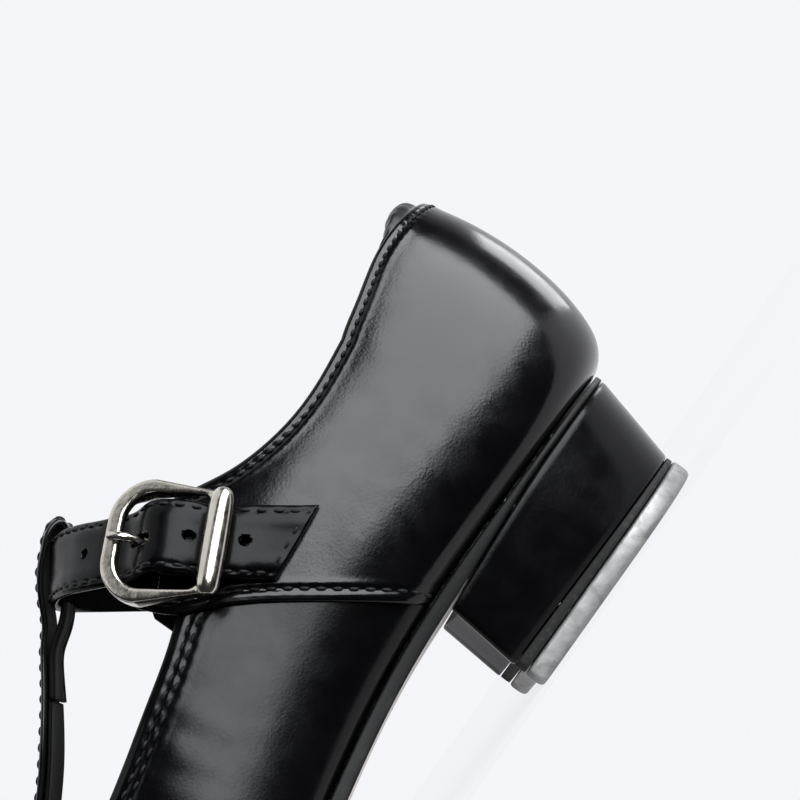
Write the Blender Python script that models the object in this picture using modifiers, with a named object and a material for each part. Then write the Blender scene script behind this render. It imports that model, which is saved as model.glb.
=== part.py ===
"""Left tap shoe with a T-bar and a buckled ankle strap.

Millimetres inside the script, metres in the model. +Y is the toe, +Z is up and +X is the medial side.
Y is counted from the rear edge of the heel tap; the whole shoe is centred by SHIFT_Y at the end.
"""

import math

import bmesh
import bpy
import numpy as np
from mathutils import Matrix, Vector

MM = 0.001
SHIFT_Y = -103.34  # puts the middle of the shoe's length at Y = 0
SHIFT_X = 1.92

# The last: its heel and toe are rounded about these two stations.
HEEL_Y = 22.0
TOE_Y = 183.0
HEEL_REACH = 28.5  # from HEEL_Y back to the bottom edge
HEEL_BULGE = 10.5  # how much further back the counter reaches
HEEL_BULGE_RISE = 7.0  # how much higher the counter is widest at the back than at the sides
BACK_LEAN = 3.0
TOE_REACH = 38.5
TOE_BULGE = 2.4
TOE_SWING = 5.0  # the toe tip lies towards the big toe
MARGIN = 9.0  # leather turned under the insole
INSOLE_RISE = 2.6  # from the top of the outsole to the underside of the insole board

# Layers, as distances out from the last.
LINING = (0.0, 0.8)
OUTER = (1.1, 2.2)
STIFFENER = (1.1, 2.1)
TOE_PUFF = (1.2, 2.0)
OVER_STIFFENER = 1.4  # how far the outer leather steps out over a stiffener or another panel
STEP_END = 0.4

# Sole, heel and taps.
SOLE_THICK = 3.2
SEAT_THICK = 1.3
BREAST_Y = 52.5
LIFT_REAR_Z = 5.7
LIFT_FRONT_Z = 6.9
TAP_THICK = 4.2
GAP = 0.3
COVER_THICK = 0.9
BREAST_HOLLOW = 5.5
TOE_TAP_REAR_Y = 163.0

# Ankle strap and buckle. The strap's middle lies in a plane leaning forward.
BUCKLE_Y = 74.55
BUCKLE_Z = 73.13
STRAP_LEAN = 0.775  # mm forward for each mm up
STRAP_WIDE = 14.8
STRAP_THICK = 1.9
HOLE_STATIONS = (18.1, -5.3, -14.6)
BAR_RADIUS = 0.9
BAR_D = 6.7
BUCKLE_TURN = 5.35  # degrees that the buckle is turned on the strap
BUCKLE_V = -1.3  # and how low it sits
HINGE_X = -8.0


def spline(*points):
    """A smooth curve through the points, straight beyond both ends."""
    x, y = np.array(points, float).T
    n = len(x)
    h = np.diff(x)
    a = np.eye(n)
    b = np.zeros(n)
    for i in range(1, n - 1):
        a[i, i - 1 : i + 2] = h[i - 1], 2 * (h[i - 1] + h[i]), h[i]
        b[i] = 6 * ((y[i + 1] - y[i]) / h[i] - (y[i] - y[i - 1]) / h[i - 1])
    m = np.linalg.solve(a, b)

    def inside(i, t):
        slope = (y[i + 1] - y[i]) / h[i] - h[i] * (2 * m[i] + m[i + 1]) / 6
        return y[i] + slope * t + m[i] * t * t / 2 + (m[i + 1] - m[i]) * t**3 / (6 * h[i])

    def at(value):
        if value < x[0]:
            return y[0] + (value - x[0]) * (inside(0, 0.01) - y[0]) / 0.01
        if value > x[-1]:
            return y[-1] + (value - x[-1]) * (y[-1] - inside(n - 2, h[-1] - 0.01)) / 0.01
        i = min(max(int(np.searchsorted(x, value)) - 1, 0), n - 2)
        return inside(i, value - x[i])

    return at


def ease(value, start, end):
    t = min(max((value - start) / (end - start), 0.0), 1.0)
    return t * t * (3 - 2 * t)


# Heights and half widths along the shoe.
sole_top = spline((-10, 27.8), (20, 27.4), (52, 27.0), (72, 25.2), (95, 20.8), (120, 14.8),
                  (145, 9.3), (162, 7.8), (180, 7.7), (205, 7.7), (228, 9.4))
edge_lateral = spline((-20, 24.0), (10, 24.8), (30, 25.4), (52, 25.2), (75, 26.4), (100, 31.0),
                      (125, 35.8), (145, 37.4), (165, 36.0), (183, 32.5), (205, 28.5))
edge_medial = spline((-20, 24.0), (10, 24.8), (30, 25.0), (52, 22.8), (75, 20.0), (95, 21.0),
                     (120, 28.8), (145, 35.0), (160, 36.0), (183, 33.6), (205, 30.5))
wide_lateral = spline((-20, 28.4), (10, 29.6), (30, 30.2), (52, 31.0), (75, 32.2), (100, 35.4),
                      (125, 38.6), (145, 39.6), (165, 38.2), (183, 34.8), (205, 30.8))
wide_medial = spline((-20, 28.4), (10, 29.6), (30, 30.0), (52, 29.4), (75, 29.2), (100, 31.6),
                     (125, 35.6), (145, 38.0), (160, 38.4), (183, 36.0), (205, 32.6))
wide_rise = spline((-20, 21), (22, 21), (52, 22), (75, 22), (100, 20), (125, 14.5),
                   (145, 11.5), (165, 10), (225, 9))
ridge = spline((-20, 150), (22, 150), (60, 120), (92, 93.5), (115, 76), (130, 66),
               (150, 55), (170, 46.5), (190, 38.5), (225, 28))
lean = spline((-20, 5), (22, 5), (50, 3), (74, 1.7), (90, 1.1), (105, 1), (230, 1))

# Edges of the panels, as heights along the shoe.
collar_line = spline((-1, 78.2), (-0.75, 78.4), (-0.52, 78.1), (-0.32, 76.6), (-0.12, 73.3),
                     (0, 71.2), (0.06, 69.8), (0.12, 69.6), (0.17, 70.8), (0.22, 73.4),
                     (0.27, 77.6), (0.33, 81.5), (0.38, 80.5), (0.41, 75.0))
quarter_seam = spline((52.5, 34.5), (58, 38.5), (65, 44.0), (71, 50.5), (77.4, 57), (82, 61),
                      (86, 66), (88, 71))
vamp_line = spline((46, 37), (52, 42), (60, 49), (68, 57), (75, 62.5), (82, 64.6), (90, 62.2),
                   (102, 58.2), (119, 53), (132, 50.4), (139, 50.6), (143.5, 53))


def station_y(s):
    return HEEL_Y + s * (TOE_Y - HEEL_Y)


def last(side, s, q):
    """A point of the last. s: -1 back, 0 heel centre, 1 toe centre, 2 tip. q: 0 bottom edge, 1 widest, 2 top."""
    turn = math.pi / 2 * max(-s, s - 1, 0)
    low = math.pi / 2 * min(max(q, 0), 1)
    high = math.pi / 2 * max(q - 1, 0)
    under = MARGIN * min(q, 0)
    y = station_y(min(max(s, 0), 1))
    if s < 0:
        reach = HEEL_REACH + HEEL_BULGE * math.sin(low)
        y -= (reach * math.cos(high) ** BACK_LEAN + under) * math.sin(turn)
    if s > 1:
        reach = TOE_REACH + TOE_BULGE * math.sin(low)
        y += (reach * math.cos(high) + under) * math.sin(turn)
    edge, wide = (edge_lateral(y), wide_lateral(y)) if side < 0 else (edge_medial(y), wide_medial(y))
    power = max(lean(y), 1.0)
    x = (edge + (wide - edge) * math.sin(low)) * max(math.cos(high), 0.0) ** power + under
    rise = wide_rise(y) + (HEEL_BULGE_RISE * math.sin(turn) ** 2 if s < 0 else 0)
    base = sole_top(y) + INSOLE_RISE
    z = base + rise * (1 - math.cos(low))
    if q > 1:
        z = base + rise + (ridge(y) - base - rise) * math.sin(high)
    swing = TOE_SWING * (max(y - 140, 0) / 85) ** 2
    return Vector((side * x * math.cos(turn) + swing, y, z))


def normal(side, s, q):
    near = min(q, 1.96)
    ahead = last(side, min(s + 0.01, 2.0), near) - last(side, max(s - 0.01, -1.0), near)
    up = last(side, s, near + 0.02) - last(side, s, near - 0.02)
    out = up.cross(ahead) * -side
    if q >= 2 or s <= -1 or s >= 2:
        out.x = 0.0
    return out.normalized()


def off(side, s, q, distance):
    return last(side, s, q) + normal(side, s, q) * distance


def q_at(side, s, z):
    """The q at which this station reaches the height z."""
    low, high = 0.0, 2.0
    for _ in range(22):
        middle = (low + high) / 2
        if last(side, s, middle).z < z:
            low = middle
        else:
            high = middle
    return low


def spread(side, s, low, high, count):
    """Values of q from low to high that are evenly spaced over the surface."""
    tries = [low + (high - low) * k / 20 for k in range(21)]
    line = [last(side, s, q) for q in tries]
    runs = np.concatenate([[0], np.cumsum([(b - a).length for a, b in zip(line, line[1:])])])
    return [float(np.interp(runs[-1] * k / (count - 1), runs, tries)) for k in range(count)]


def over(x, y, distance):
    """A point over the instep at this x and y, held off the last."""
    s = (y - HEEL_Y) / (TOE_Y - HEEL_Y)
    side = -1 if x < 0 else 1
    wide = wide_lateral(y) if side < 0 else wide_medial(y)
    share = min(abs(x) / wide, 1.0) ** (1 / max(lean(y), 1.0))
    q = 1 + math.acos(share) / (math.pi / 2)
    if abs(x) < 1e-6:
        q = 2.0
    return off(side, s, q, distance)


# Scene, materials and mesh helpers.
for old in list(bpy.data.objects):
    bpy.data.objects.remove(old)
shoe = bpy.data.collections.new("tap_shoe")
cutters = bpy.data.collections.new("cutters")
for group in (shoe, cutters):
    bpy.context.scene.collection.children.link(group)


def finish_material(name, color, rough, metal=0.0):
    made = bpy.data.materials.new(name)
    made.use_nodes = True
    shader = made.node_tree.nodes["Principled BSDF"]
    shader.inputs["Base Color"].default_value = (*color, 1)
    shader.inputs["Roughness"].default_value = rough
    shader.inputs["Metallic"].default_value = metal
    return made


LEATHER = finish_material("black_leather", (0.02, 0.02, 0.022), 0.28)
LINING_CLOTH = finish_material("black_lining", (0.035, 0.035, 0.037), 0.8)
SOCK_CLOTH = finish_material("grey_sock", (0.12, 0.12, 0.125), 0.85)
BOARD = finish_material("fibre_board", (0.5, 0.38, 0.24), 0.9)
STIFF = finish_material("stiffener", (0.75, 0.72, 0.66), 0.85)
SOLE = finish_material("pale_sole", (0.62, 0.6, 0.56), 0.6)
HEEL_PLASTIC = finish_material("heel_plastic", (0.7, 0.68, 0.62), 0.5)
RUBBER = finish_material("lift_rubber", (0.05, 0.05, 0.052), 0.7)
TAP_METAL = finish_material("tap_aluminium", (0.72, 0.71, 0.69), 0.35, 1.0)
STEEL = finish_material("steel", (0.6, 0.6, 0.6), 0.3, 1.0)
NICKEL = finish_material("buckle_nickel", (0.75, 0.72, 0.66), 0.15, 1.0)


def made_object(name, mesh, material, group=shoe):
    mesh.materials.append(material)
    for face in mesh.polygons:
        face.use_smooth = True
    made = bpy.data.objects.new(name, mesh)
    group.objects.link(made)
    if group is cutters:
        made.hide_render = True
        made.display_type = "WIRE"
    return made


def mesh_from(name, points, faces, material, group=shoe, weld=None):
    work = bmesh.new()
    verts = [work.verts.new(Vector(p) * MM) for p in points]
    for face in faces:
        work.faces.new([verts[i] for i in face])
    if weld:
        bmesh.ops.remove_doubles(work, verts=work.verts, dist=weld * MM)
        bmesh.ops.dissolve_degenerate(work, edges=work.edges, dist=weld * MM)
    bmesh.ops.recalc_face_normals(work, faces=work.faces)
    mesh = bpy.data.meshes.new(name)
    work.to_mesh(mesh)
    work.free()
    return made_object(name, mesh, material, group)


def slab(name, front, back, material, group=shoe, weld=None):
    """A solid between two grids of points of the same size."""
    rows = len(front)
    cols = len(front[0])
    points = [p for grid in (front, back) for row in grid for p in row]

    def at(layer, i, j):
        return layer * rows * cols + i * cols + j

    faces = []
    for i in range(rows - 1):
        for j in range(cols - 1):
            faces.append((at(0, i, j), at(0, i + 1, j), at(0, i + 1, j + 1), at(0, i, j + 1)))
            faces.append((at(1, i, j), at(1, i, j + 1), at(1, i + 1, j + 1), at(1, i + 1, j)))
    for i in range(rows - 1):
        for j in (0, cols - 1):
            faces.append((at(0, i, j), at(0, i + 1, j), at(1, i + 1, j), at(1, i, j)))
    for j in range(cols - 1):
        for i in (0, rows - 1):
            faces.append((at(0, i, j), at(0, i, j + 1), at(1, i, j + 1), at(1, i, j)))
    return mesh_from(name, points, faces, material, group, weld)


def loft(name, rings, material, group=shoe, closed=False):
    """A skin over rings of points; capped at both ends, or joined round into a tube wall when closed."""
    count = len(rings[0])
    points = [p for ring in rings for p in ring]
    faces = []
    spans = len(rings) if closed else len(rings) - 1
    for i in range(spans):
        k = (i + 1) % len(rings)
        for j in range(count):
            n = (j + 1) % count
            faces.append((i * count + j, k * count + j, k * count + n, i * count + n))
    if not closed:
        faces.append(tuple(range(count)))
        faces.append(tuple((len(rings) - 1) * count + j for j in range(count)))
    return mesh_from(name, points, faces, material, group)


def sheet(name, columns, distance, thick, material):
    """A sheet over the last from columns of (side, s, q), welded where columns meet, then thickened."""
    rows = len(columns[0])
    points = [off(*spot, distance(*spot)) for column in columns for spot in column]
    faces = []
    for i in range(len(columns) - 1):
        for j in range(rows - 1):
            a = i * rows + j
            faces.append((a, a + rows, a + rows + 1, a + 1))
    made = mesh_from(name, points, faces, material, weld=0.02)
    middle = sum(1 if f.normal.dot(f.center - Vector((0, 0.12, 0.03))) > 0 else -1
                 for f in made.data.polygons)
    if middle < 0:
        made.data.flip_normals()
    thicken = made.modifiers.new("thickness", "SOLIDIFY")
    thicken.thickness = thick * MM
    thicken.offset = 1.0
    thicken.use_even_offset = False
    return made


def cut(target, cutter):
    hole = target.modifiers.new("cut_" + cutter.name, "BOOLEAN")
    hole.operation = "DIFFERENCE"
    hole.solver = "EXACT"
    hole.object = cutter


def spindle(name, profile, at, material, group=shoe, sides=14):
    """A turned piece from (radius, z) pairs, upright at this x, y."""
    rings = []
    for radius, z in profile:
        turns = [2 * math.pi * k / sides for k in range(sides)]
        rings.append([(at[0] + radius * math.cos(t), at[1] + radius * math.sin(t), z) for t in turns])
    return loft(name, rings, material, group)


def steps(start, end, count):
    return [start + (end - start) * k / (count - 1) for k in range(count)]


# Upper.
def step_out(side, s, q):
    """Outer leather of the quarter: down on the insole at the bottom edge, out over the counter above it."""
    return OUTER[0] + OVER_STIFFENER * ease(q, 0.0, STEP_END)


def vamp_out(side, s, q):
    return OUTER[0] + 1.3 * ease(q, 0.0, STEP_END) * ease(last(side, s, q).y, 158, 174)


SEAM_S = (BREAST_Y - HEEL_Y) / (TOE_Y - HEEL_Y)
TAB_S = 0.409


def foot_rows(bottom, step):
    """Rows from a bottom edge up to where the leather has stepped out; they run together once above it."""
    return [max(bottom, q) if q > -1 else bottom for q in (-1.0, -0.5, 0.0, 0.2)] + [max(bottom, step)]


def quarter_bottom(side, s):
    """The lower edge: turned under the insole over the heel, then rising along the seam."""
    return float(np.interp(s, (SEAM_S - 0.009, SEAM_S - 0.006, SEAM_S - 0.003, SEAM_S),
                           (-1.0, 0.0, 0.2, STEP_END + 0.02)))


def quarter_column(side, s):
    bottom = quarter_bottom(side, s)
    if s > SEAM_S + 0.001:
        bottom = max(bottom, q_at(side, s, quarter_seam(station_y(s))))
    top = q_at(side, s, collar_line(s))
    start = max(bottom, STEP_END)
    return [(side, s, q) for q in foot_rows(bottom, STEP_END)[:-1] + spread(side, s, start, top, 8)]


def strip(name, columns, outside, inside, material, weld=None):
    front = [[off(*spot, outside(*spot)) for spot in column] for column in columns]
    back = [[off(*spot, inside(*spot)) for spot in column] for column in columns]
    return slab(name, front, back, material, weld=weld)


def around_heel(half):
    """Stations from the lateral side round the back to the medial side."""
    return [(-1, s) for s in reversed(half)] + [(1, s) for s in half[1:]]


back_half = [-1 + 0.1 * k for k in range(11)]
seam_steps = [SEAM_S - 0.009, SEAM_S - 0.006, SEAM_S - 0.003, SEAM_S]
half = back_half + steps(0.05, 0.15, 3) + seam_steps + steps(SEAM_S + 0.025, TAB_S, 9)
thick = OUTER[1] - OUTER[0]
strip("quarter", [quarter_column(side, s) for side, s in around_heel(half)],
      lambda *spot: step_out(*spot) + thick, step_out, LEATHER, weld=0.02)

LINING_SPLIT_S = 0.25
half = back_half + steps(0.05, LINING_SPLIT_S - 0.002, 6)
columns = []
for side, s in around_heel(half):
    top = q_at(side, s, collar_line(s) - 0.6)
    columns.append([(side, s, q) for q in [-0.3, 0.0, 0.2] + spread(side, s, 0.4, top, 6)])
strip("quarter_lining", columns, lambda *spot: LINING[1], lambda *spot: LINING[0], LINING_CLOTH)

columns = []
for side, s in around_heel(back_half + steps(0.05, 0.12, 2)):
    top = q_at(side, s, 66 - 22 * ease(s, -0.5, 0.14))
    columns.append([(side, s, q) for q in spread(side, s, STEP_END + 0.06, top, 6)])
strip("heel_counter", columns, lambda *spot: STIFFENER[1], lambda *spot: STIFFENER[0], STIFF)

THROAT_S = (143.5 - HEEL_Y) / (TOE_Y - HEEL_Y)
THROAT_END_S = THROAT_S + 0.026


def vamp_top(side, s, drop=0.0):
    """The upper edge: down from the quarter to the throat, then closed over the top of the foot."""
    if s >= THROAT_END_S - 1e-9:
        return 2.0
    held = min(s, THROAT_S)
    edge = q_at(side, held, vamp_line(station_y(held)) - drop)
    return edge + (2.0 - edge) * max(s - THROAT_S, 0) / (THROAT_END_S - THROAT_S)


def vamp_column(side, s):
    bottom = float(np.interp(s, (SEAM_S - 0.002, SEAM_S + 0.001, SEAM_S + 0.004, SEAM_S + 0.007),
                             (STEP_END + 0.06, 0.2, 0.0, -1.0)))
    start = max(bottom, STEP_END)
    rows = foot_rows(bottom, STEP_END)[:-1] + spread(side, s, start, vamp_top(side, s), 8)
    return [(side, s, q) for q in rows]


def around_toe(half):
    """Stations from the lateral side round the toe to the medial side."""
    return [(-1, s) for s in half] + [(1, s) for s in reversed(half[:-1])]


throat_s = steps(THROAT_S, THROAT_END_S, 4)
roof_s = steps(THROAT_END_S + 0.04, 1.0, 5)
cap_s = steps(1.125, 2.0, 8)
wing_s = [0.15, SEAM_S - 0.002, SEAM_S + 0.001, SEAM_S + 0.004, SEAM_S + 0.007]
half = wing_s + steps(SEAM_S + 0.035, THROAT_S - 0.03, 13) + throat_s + roof_s + cap_s
sheet("vamp", [vamp_column(side, s) for side, s in around_toe(half)], vamp_out, thick, LEATHER)

half = steps(LINING_SPLIT_S + 0.002, THROAT_S - 0.03, 9) + throat_s + roof_s + cap_s
columns = []
for side, s in around_toe(half):
    top = vamp_top(side, s, 0.6)
    columns.append([(side, s, q) for q in [-0.3, 0.0, 0.2] + spread(side, s, 0.4, top, 8)])
sheet("vamp_lining", columns, lambda *spot: LINING[0], LINING[1] - LINING[0], LINING_CLOTH)

columns = []
for side, s in around_toe([1.0] + cap_s):
    rows = spread(side, s, STEP_END, 2.0, 8)
    columns.append([(side, s, q) for q in [rows[0] + 0.06] + rows[1:]])
sheet("toe_puff", columns, lambda *spot: TOE_PUFF[0], TOE_PUFF[1] - TOE_PUFF[0], STIFF)

# Padded collar at the back of the ankle: its roll shows above the edge of the quarter.
PAD_END_S = -0.3


def pad_ring(side, s):
    top = collar_line(s)
    swell = 1 - 0.82 * ease(s, -0.85, PAD_END_S)
    shape = [(-0.5, -17), (-3.2 * swell - 0.6, -12), (-5.0 * swell, -5), (-5.2 * swell, 1.5),
             (-3.6 * swell, 4.8 * swell), (-1.2, 6.2 * swell), (1.4, 5.2 * swell),
             (2.6 * swell, 2.6 * swell + 0.4), (1.6 * swell, 0.7), (-0.4, 0.6), (-0.4, -8)]
    points = []
    for distance, height in shape:
        points.append(off(side, s, q_at(side, s, top + height), distance))
    return points


pad_s = steps(-1.0, PAD_END_S, 8)
ring = [(-1, s) for s in reversed(pad_s)] + [(1, s) for s in pad_s[1:]]
loft("collar_pad", [pad_ring(side, s) for side, s in ring], LINING_CLOTH)

# T-bar: a strip on the vamp that runs up the instep, over the ankle strap and folds back beneath it.
TBAR_THICK = 1.3
TBAR_HALF = spline((80, 6.0), (90, 5.9), (99, 5.7), (106, 5.7), (114, 7.4), (121, 8.4), (131, 8.6), (145, 11.2),
                   (160, 13.5))
tbar_middle = [(159.5, 3.2), (154, 3.15), (147, 3.15), (138, 3.15), (132, 3.1), (126, 3.1), (120, 3.3),
               (114, 3.5), (108, 3.85), (103.4, 4.05), (101, 3.85), (99.4, 3.95), (97.2, 4.45), (94.2, 4.95),
               (90.5, 4.95), (88.2, 4.5), (85.7, 4.05), (83.9, 3.0), (83.15, 1.8), (83.5, 0.8), (85.0, 0.15),
               (88, 0.0), (93, 0.0), (98, 0.05), (100.6, 0.7), (104, 2.1), (108, 2.25), (112.5, 1.95)]


def band_sides(middle, thick):
    """The two edges of a strip of this thickness about a middle line."""
    line = np.array(middle, float)
    along = np.gradient(line, axis=0)
    along /= np.linalg.norm(along, axis=1)[:, None]
    across = np.stack([along[:, 1], -along[:, 0]], axis=1)
    return line + across * thick / 2, line - across * thick / 2


first, second = band_sides(tbar_middle, TBAR_THICK)
across = steps(-1, 1, 9)
front = [[over(k * TBAR_HALF(y), y, d) for k in across] for y, d in first]
back = [[over(k * TBAR_HALF(y), y, d) for k in across] for y, d in second]
slab("t_bar", front, back, LEATHER)
bar_lining = spline((113.5, 2.25), (118, 2.05), (124, 1.7), (132, 1.55), (142.5, 1.5))
rows = steps(113.5, 142.5, 7)
front = [[over(k * (TBAR_HALF(y) - 0.6), y, bar_lining(y) + 0.4) for k in across] for y in rows]
back = [[over(k * (TBAR_HALF(y) - 0.6), y, bar_lining(y) - 0.4) for k in across] for y in rows]
slab("t_bar_lining", front, back, LINING_CLOTH)


# Ankle strap. It follows the last in one leaning plane; stations are counted from the buckle's bar.
def strap_spot(side, high):
    z = BUCKLE_Z
    y = BUCKLE_Y
    for _ in range(40):
        y = BUCKLE_Y + STRAP_LEAN * (z - BUCKLE_Z)
        base = sole_top(y) + INSOLE_RISE + wide_rise(y)
        z = base + (ridge(y) - base) * math.sin(high)
    wide = wide_lateral(y) if side < 0 else wide_medial(y)
    return Vector((side * wide * max(math.cos(high), 0) ** max(lean(y), 1), y, z))


path = [strap_spot(-1, a) for a in steps(0.02, math.pi / 2, 90)]
path += [strap_spot(1, a) for a in reversed(steps(0.02, math.pi / 2, 90)[:-1])]
runs = np.concatenate([[0], np.cumsum([(b - a).length for a, b in zip(path, path[1:])])])
at_bar = min(range(90), key=lambda i: abs(path[i].z - BUCKLE_Z))
runs -= runs[at_bar]
faces_out = []
for i, p in enumerate(path):
    hand = -1 if i < 90 else 1
    s_here = (p.y - HEEL_Y) / (TOE_Y - HEEL_Y)
    faces_out.append(normal(hand, s_here, q_at(hand, s_here, p.z)))
faces_out[89] = (faces_out[88] + faces_out[90]).normalized()
path = np.array(path)
faces_out = np.array(faces_out)


def strap_frame(u):
    """Where the last's surface is at station u, with the strap's direction, width and outward directions."""
    held = max(u, float(runs[0]) + 2)
    point = Vector([np.interp(held, runs, path[:, k]) for k in range(3)])
    ahead = Vector([np.interp(held + 2, runs, path[:, k]) for k in range(3)])
    behind = Vector([np.interp(held - 2, runs, path[:, k]) for k in range(3)])
    along = (ahead - behind).normalized()
    out = Vector([np.interp(held, runs, faces_out[:, k]) for k in range(3)])
    out = (out - along * out.dot(along)).normalized()
    return point + along * (u - held), along, along.cross(out).normalized(), out


TIP_U = -24.0
SLANT = -4.2  # the tip is cut on a slant: its upper corner reaches further
HINGE_U = float(np.interp(HINGE_X, path[: 90, 0], runs[: 90]))
MEDIAL_END = float(runs[-1]) - 22.0
strap_lift = spline((-34, 4.2), (-26, 4.3), (-18, 5.0), (-14, 5.7), (-11, 5.9), (-9.3, 6.0),
                    (-6.8, 7.3), (-3.5, 9.1), (0, 9.8), (2.5, 9.0), (5.5, 6.4), (8, 4.7), (12, 4.2), (16, 3.4),
                    (22, 2.3), (27, 1.5), (32, 1.2), (60, 1.2))
root_lift = spline((HINGE_U, 1.2), (52.5, 1.2), (58.5, 1.15), (64.5, 1.05), (70.5, 1.0), (MEDIAL_END, 1.0))
strap_sway = spline((-30, -0.5), (-14, -0.65), (-9, -0.7), (-4, -0.5), (1, -0.55), (6, -0.9), (12, -1.4),
                    (20, -1.1), (31, -0.8), (38, -1.3), (48, -1.3), (70, -0.6))


def root_thickness(u):
    """The strap is pared where it is stitched in behind the medial quarter."""
    return STRAP_THICK - 0.8 * ease(u, 50, 60)




def strap_grid(stations, lift, extra=lambda u: 0.0):
    rows = []
    for u in stations:
        point, along, side, out = strap_frame(u)
        row = []
        for k in steps(-1, 1, 5):
            slant = SLANT * k * ease(-u, 12, 24)
            place, _, _, _ = strap_frame(u + slant) if slant else (point, along, side, out)
            bow = -0.35 * k * k
            across = k * STRAP_WIDE / 2 + strap_sway(u)
            row.append(place + side * across + out * (lift(u) + extra(u) + bow))
        rows.append(row)
    return rows


end_u = steps(TIP_U, HINGE_U, 40)
strap_end = slab("strap_end", strap_grid(end_u, strap_lift, lambda u: STRAP_THICK),
                 strap_grid(end_u, strap_lift), LEATHER)
root_u = steps(HINGE_U + 0.3, MEDIAL_END, 30)
slab("strap_root", strap_grid(root_u, root_lift, root_thickness), strap_grid(root_u, root_lift), LEATHER)

# Buckle, in its own axes: along the strap, across it, and out from the foot.
strap_centre, strap_u, strap_v, N = strap_frame(0.0)
turned = math.radians(BUCKLE_TURN)
U = strap_u * math.cos(turned) + strap_v * math.sin(turned)
V = strap_v * math.cos(turned) - strap_u * math.sin(turned)
centre = strap_centre + V * BUCKLE_V


def placed(u, v, d):
    return centre + U * u + V * v + N * d


def rounded(half_u0, half_u1, half_v, corner, count=6):
    """A rounded rectangle from u = half_u0 to half_u1, as (u, v) points."""
    out = []
    for cu, cv, start in ((half_u1 - corner, half_v - corner, 0), (half_u0 + corner, half_v - corner, 90),
                          (half_u0 + corner, corner - half_v, 180), (half_u1 - corner, corner - half_v, 270)):
        for k in range(count):
            t = math.radians(start + 90 * k / (count - 1))
            out.append((cu + corner * math.cos(t), cv + corner * math.sin(t)))
    return out


FRAME_LOW = 7.6
FRAME_HIGH = 9.9
ARM_DEPTH = 2.0  # the side arms reach further down, to hold the bar


def tapered(outline):
    """The frame narrows towards the keeper."""
    return [(u, v * (1 - 0.18 * ease(-u, -1.5, 10))) for u, v in outline]


def frame_low(u, v):
    return FRAME_LOW + 0.6 * ease(-u, 2, 7) - ARM_DEPTH * ease(abs(v), 7.8, 9.2) * ease(u, -7, -2)


outer_edge = tapered(rounded(-13.2, 11.9, 12.7, 6.6, 8))
inner_edge = rounded(-9.2, 8.6, 9.6, 3.4, 8)
section = ((1.0, 0.0), (0.0, 0.3), (0.12, 0.76), (0.6, 1.0))
rings = []
for from_edge, to_edge, order in ((outer_edge, inner_edge, section), (inner_edge, outer_edge, section[::-1])):
    for share, high in order:
        ring = []
        for a, b in zip(from_edge, to_edge):
            u, v = Vector(a).lerp(Vector(b), 0.25 * share)
            low = frame_low(u, v)
            ring.append(placed(u, v, low + (FRAME_HIGH - low) * high))
        rings.append(ring)
buckle_frame = loft("buckle_frame", rings, NICKEL, closed=True)


def tube(name, points, radius, material, group=shoe, sides=12):
    """A round wire through the points, capped at both ends."""
    line = [Vector(p) for p in points]
    rings = []
    guide = V.copy()
    for i, p in enumerate(line):
        ahead = (line[min(i + 1, len(line) - 1)] - line[max(i - 1, 0)]).normalized()
        first = (guide - ahead * guide.dot(ahead)).normalized()
        second = ahead.cross(first)
        turns = [2 * math.pi * k / sides for k in range(sides)]
        rings.append([p + first * radius * math.cos(t) + second * radius * math.sin(t) for t in turns])
    return loft(name, rings, material, group)


def rod(name, half, radius, u, d, material, group=shoe, sides=20, round_end=0.0):
    """A straight round bar across the buckle."""
    stops = [(-half, radius - round_end), (-half + round_end, radius), (half - round_end, radius),
             (half, radius - round_end)]
    if not round_end:
        stops = [(-half, radius), (half, radius)]
    rings = []
    for v, r in stops:
        turns = [2 * math.pi * k / sides for k in range(sides)]
        rings.append([placed(u + r * math.cos(t), v, d + r * math.sin(t)) for t in turns])
    return loft(name, rings, material, group)


KEEPER_U = -11.7
keeper = rod("keeper_blank", 11.0, 2.4, KEEPER_U, 10.3, NICKEL, cutters, round_end=0.8)
join = buckle_frame.modifiers.new("keeper", "BOOLEAN")
join.operation = "UNION"
join.solver = "EXACT"
join.object = keeper
bar_hole = rod("bar_hole", 11.5, BAR_RADIUS + 0.3, 0, BAR_D, NICKEL, cutters)
cut(buckle_frame, bar_hole)
rod("buckle_bar", 11.2, BAR_RADIUS, 0, BAR_D, STEEL)

# Prong: a wire eye round the bar, then out through the strap to rest on the frame.
PRONG_RADIUS = 0.9
EYE = BAR_RADIUS + GAP + PRONG_RADIUS
wire = [placed(EYE * math.cos(math.radians(a)), 0, BAR_D + EYE * math.sin(math.radians(a)))
        for a in (65, 95, 125, 150, 180, 210, 240, 270, 292, 312)]
wire += [placed(u, 0, BAR_D + d) for u, d in ((2.6, -0.4), (3.8, 0.8), (5.0, 2.05), (6.0, 3.2), (7.0, 4.1),
                                              (8.3, 4.5), (9.6, 4.45), (10.7, 4.25))]
buckle_prong = tube("buckle_prong", wire, PRONG_RADIUS, NICKEL)

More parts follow.
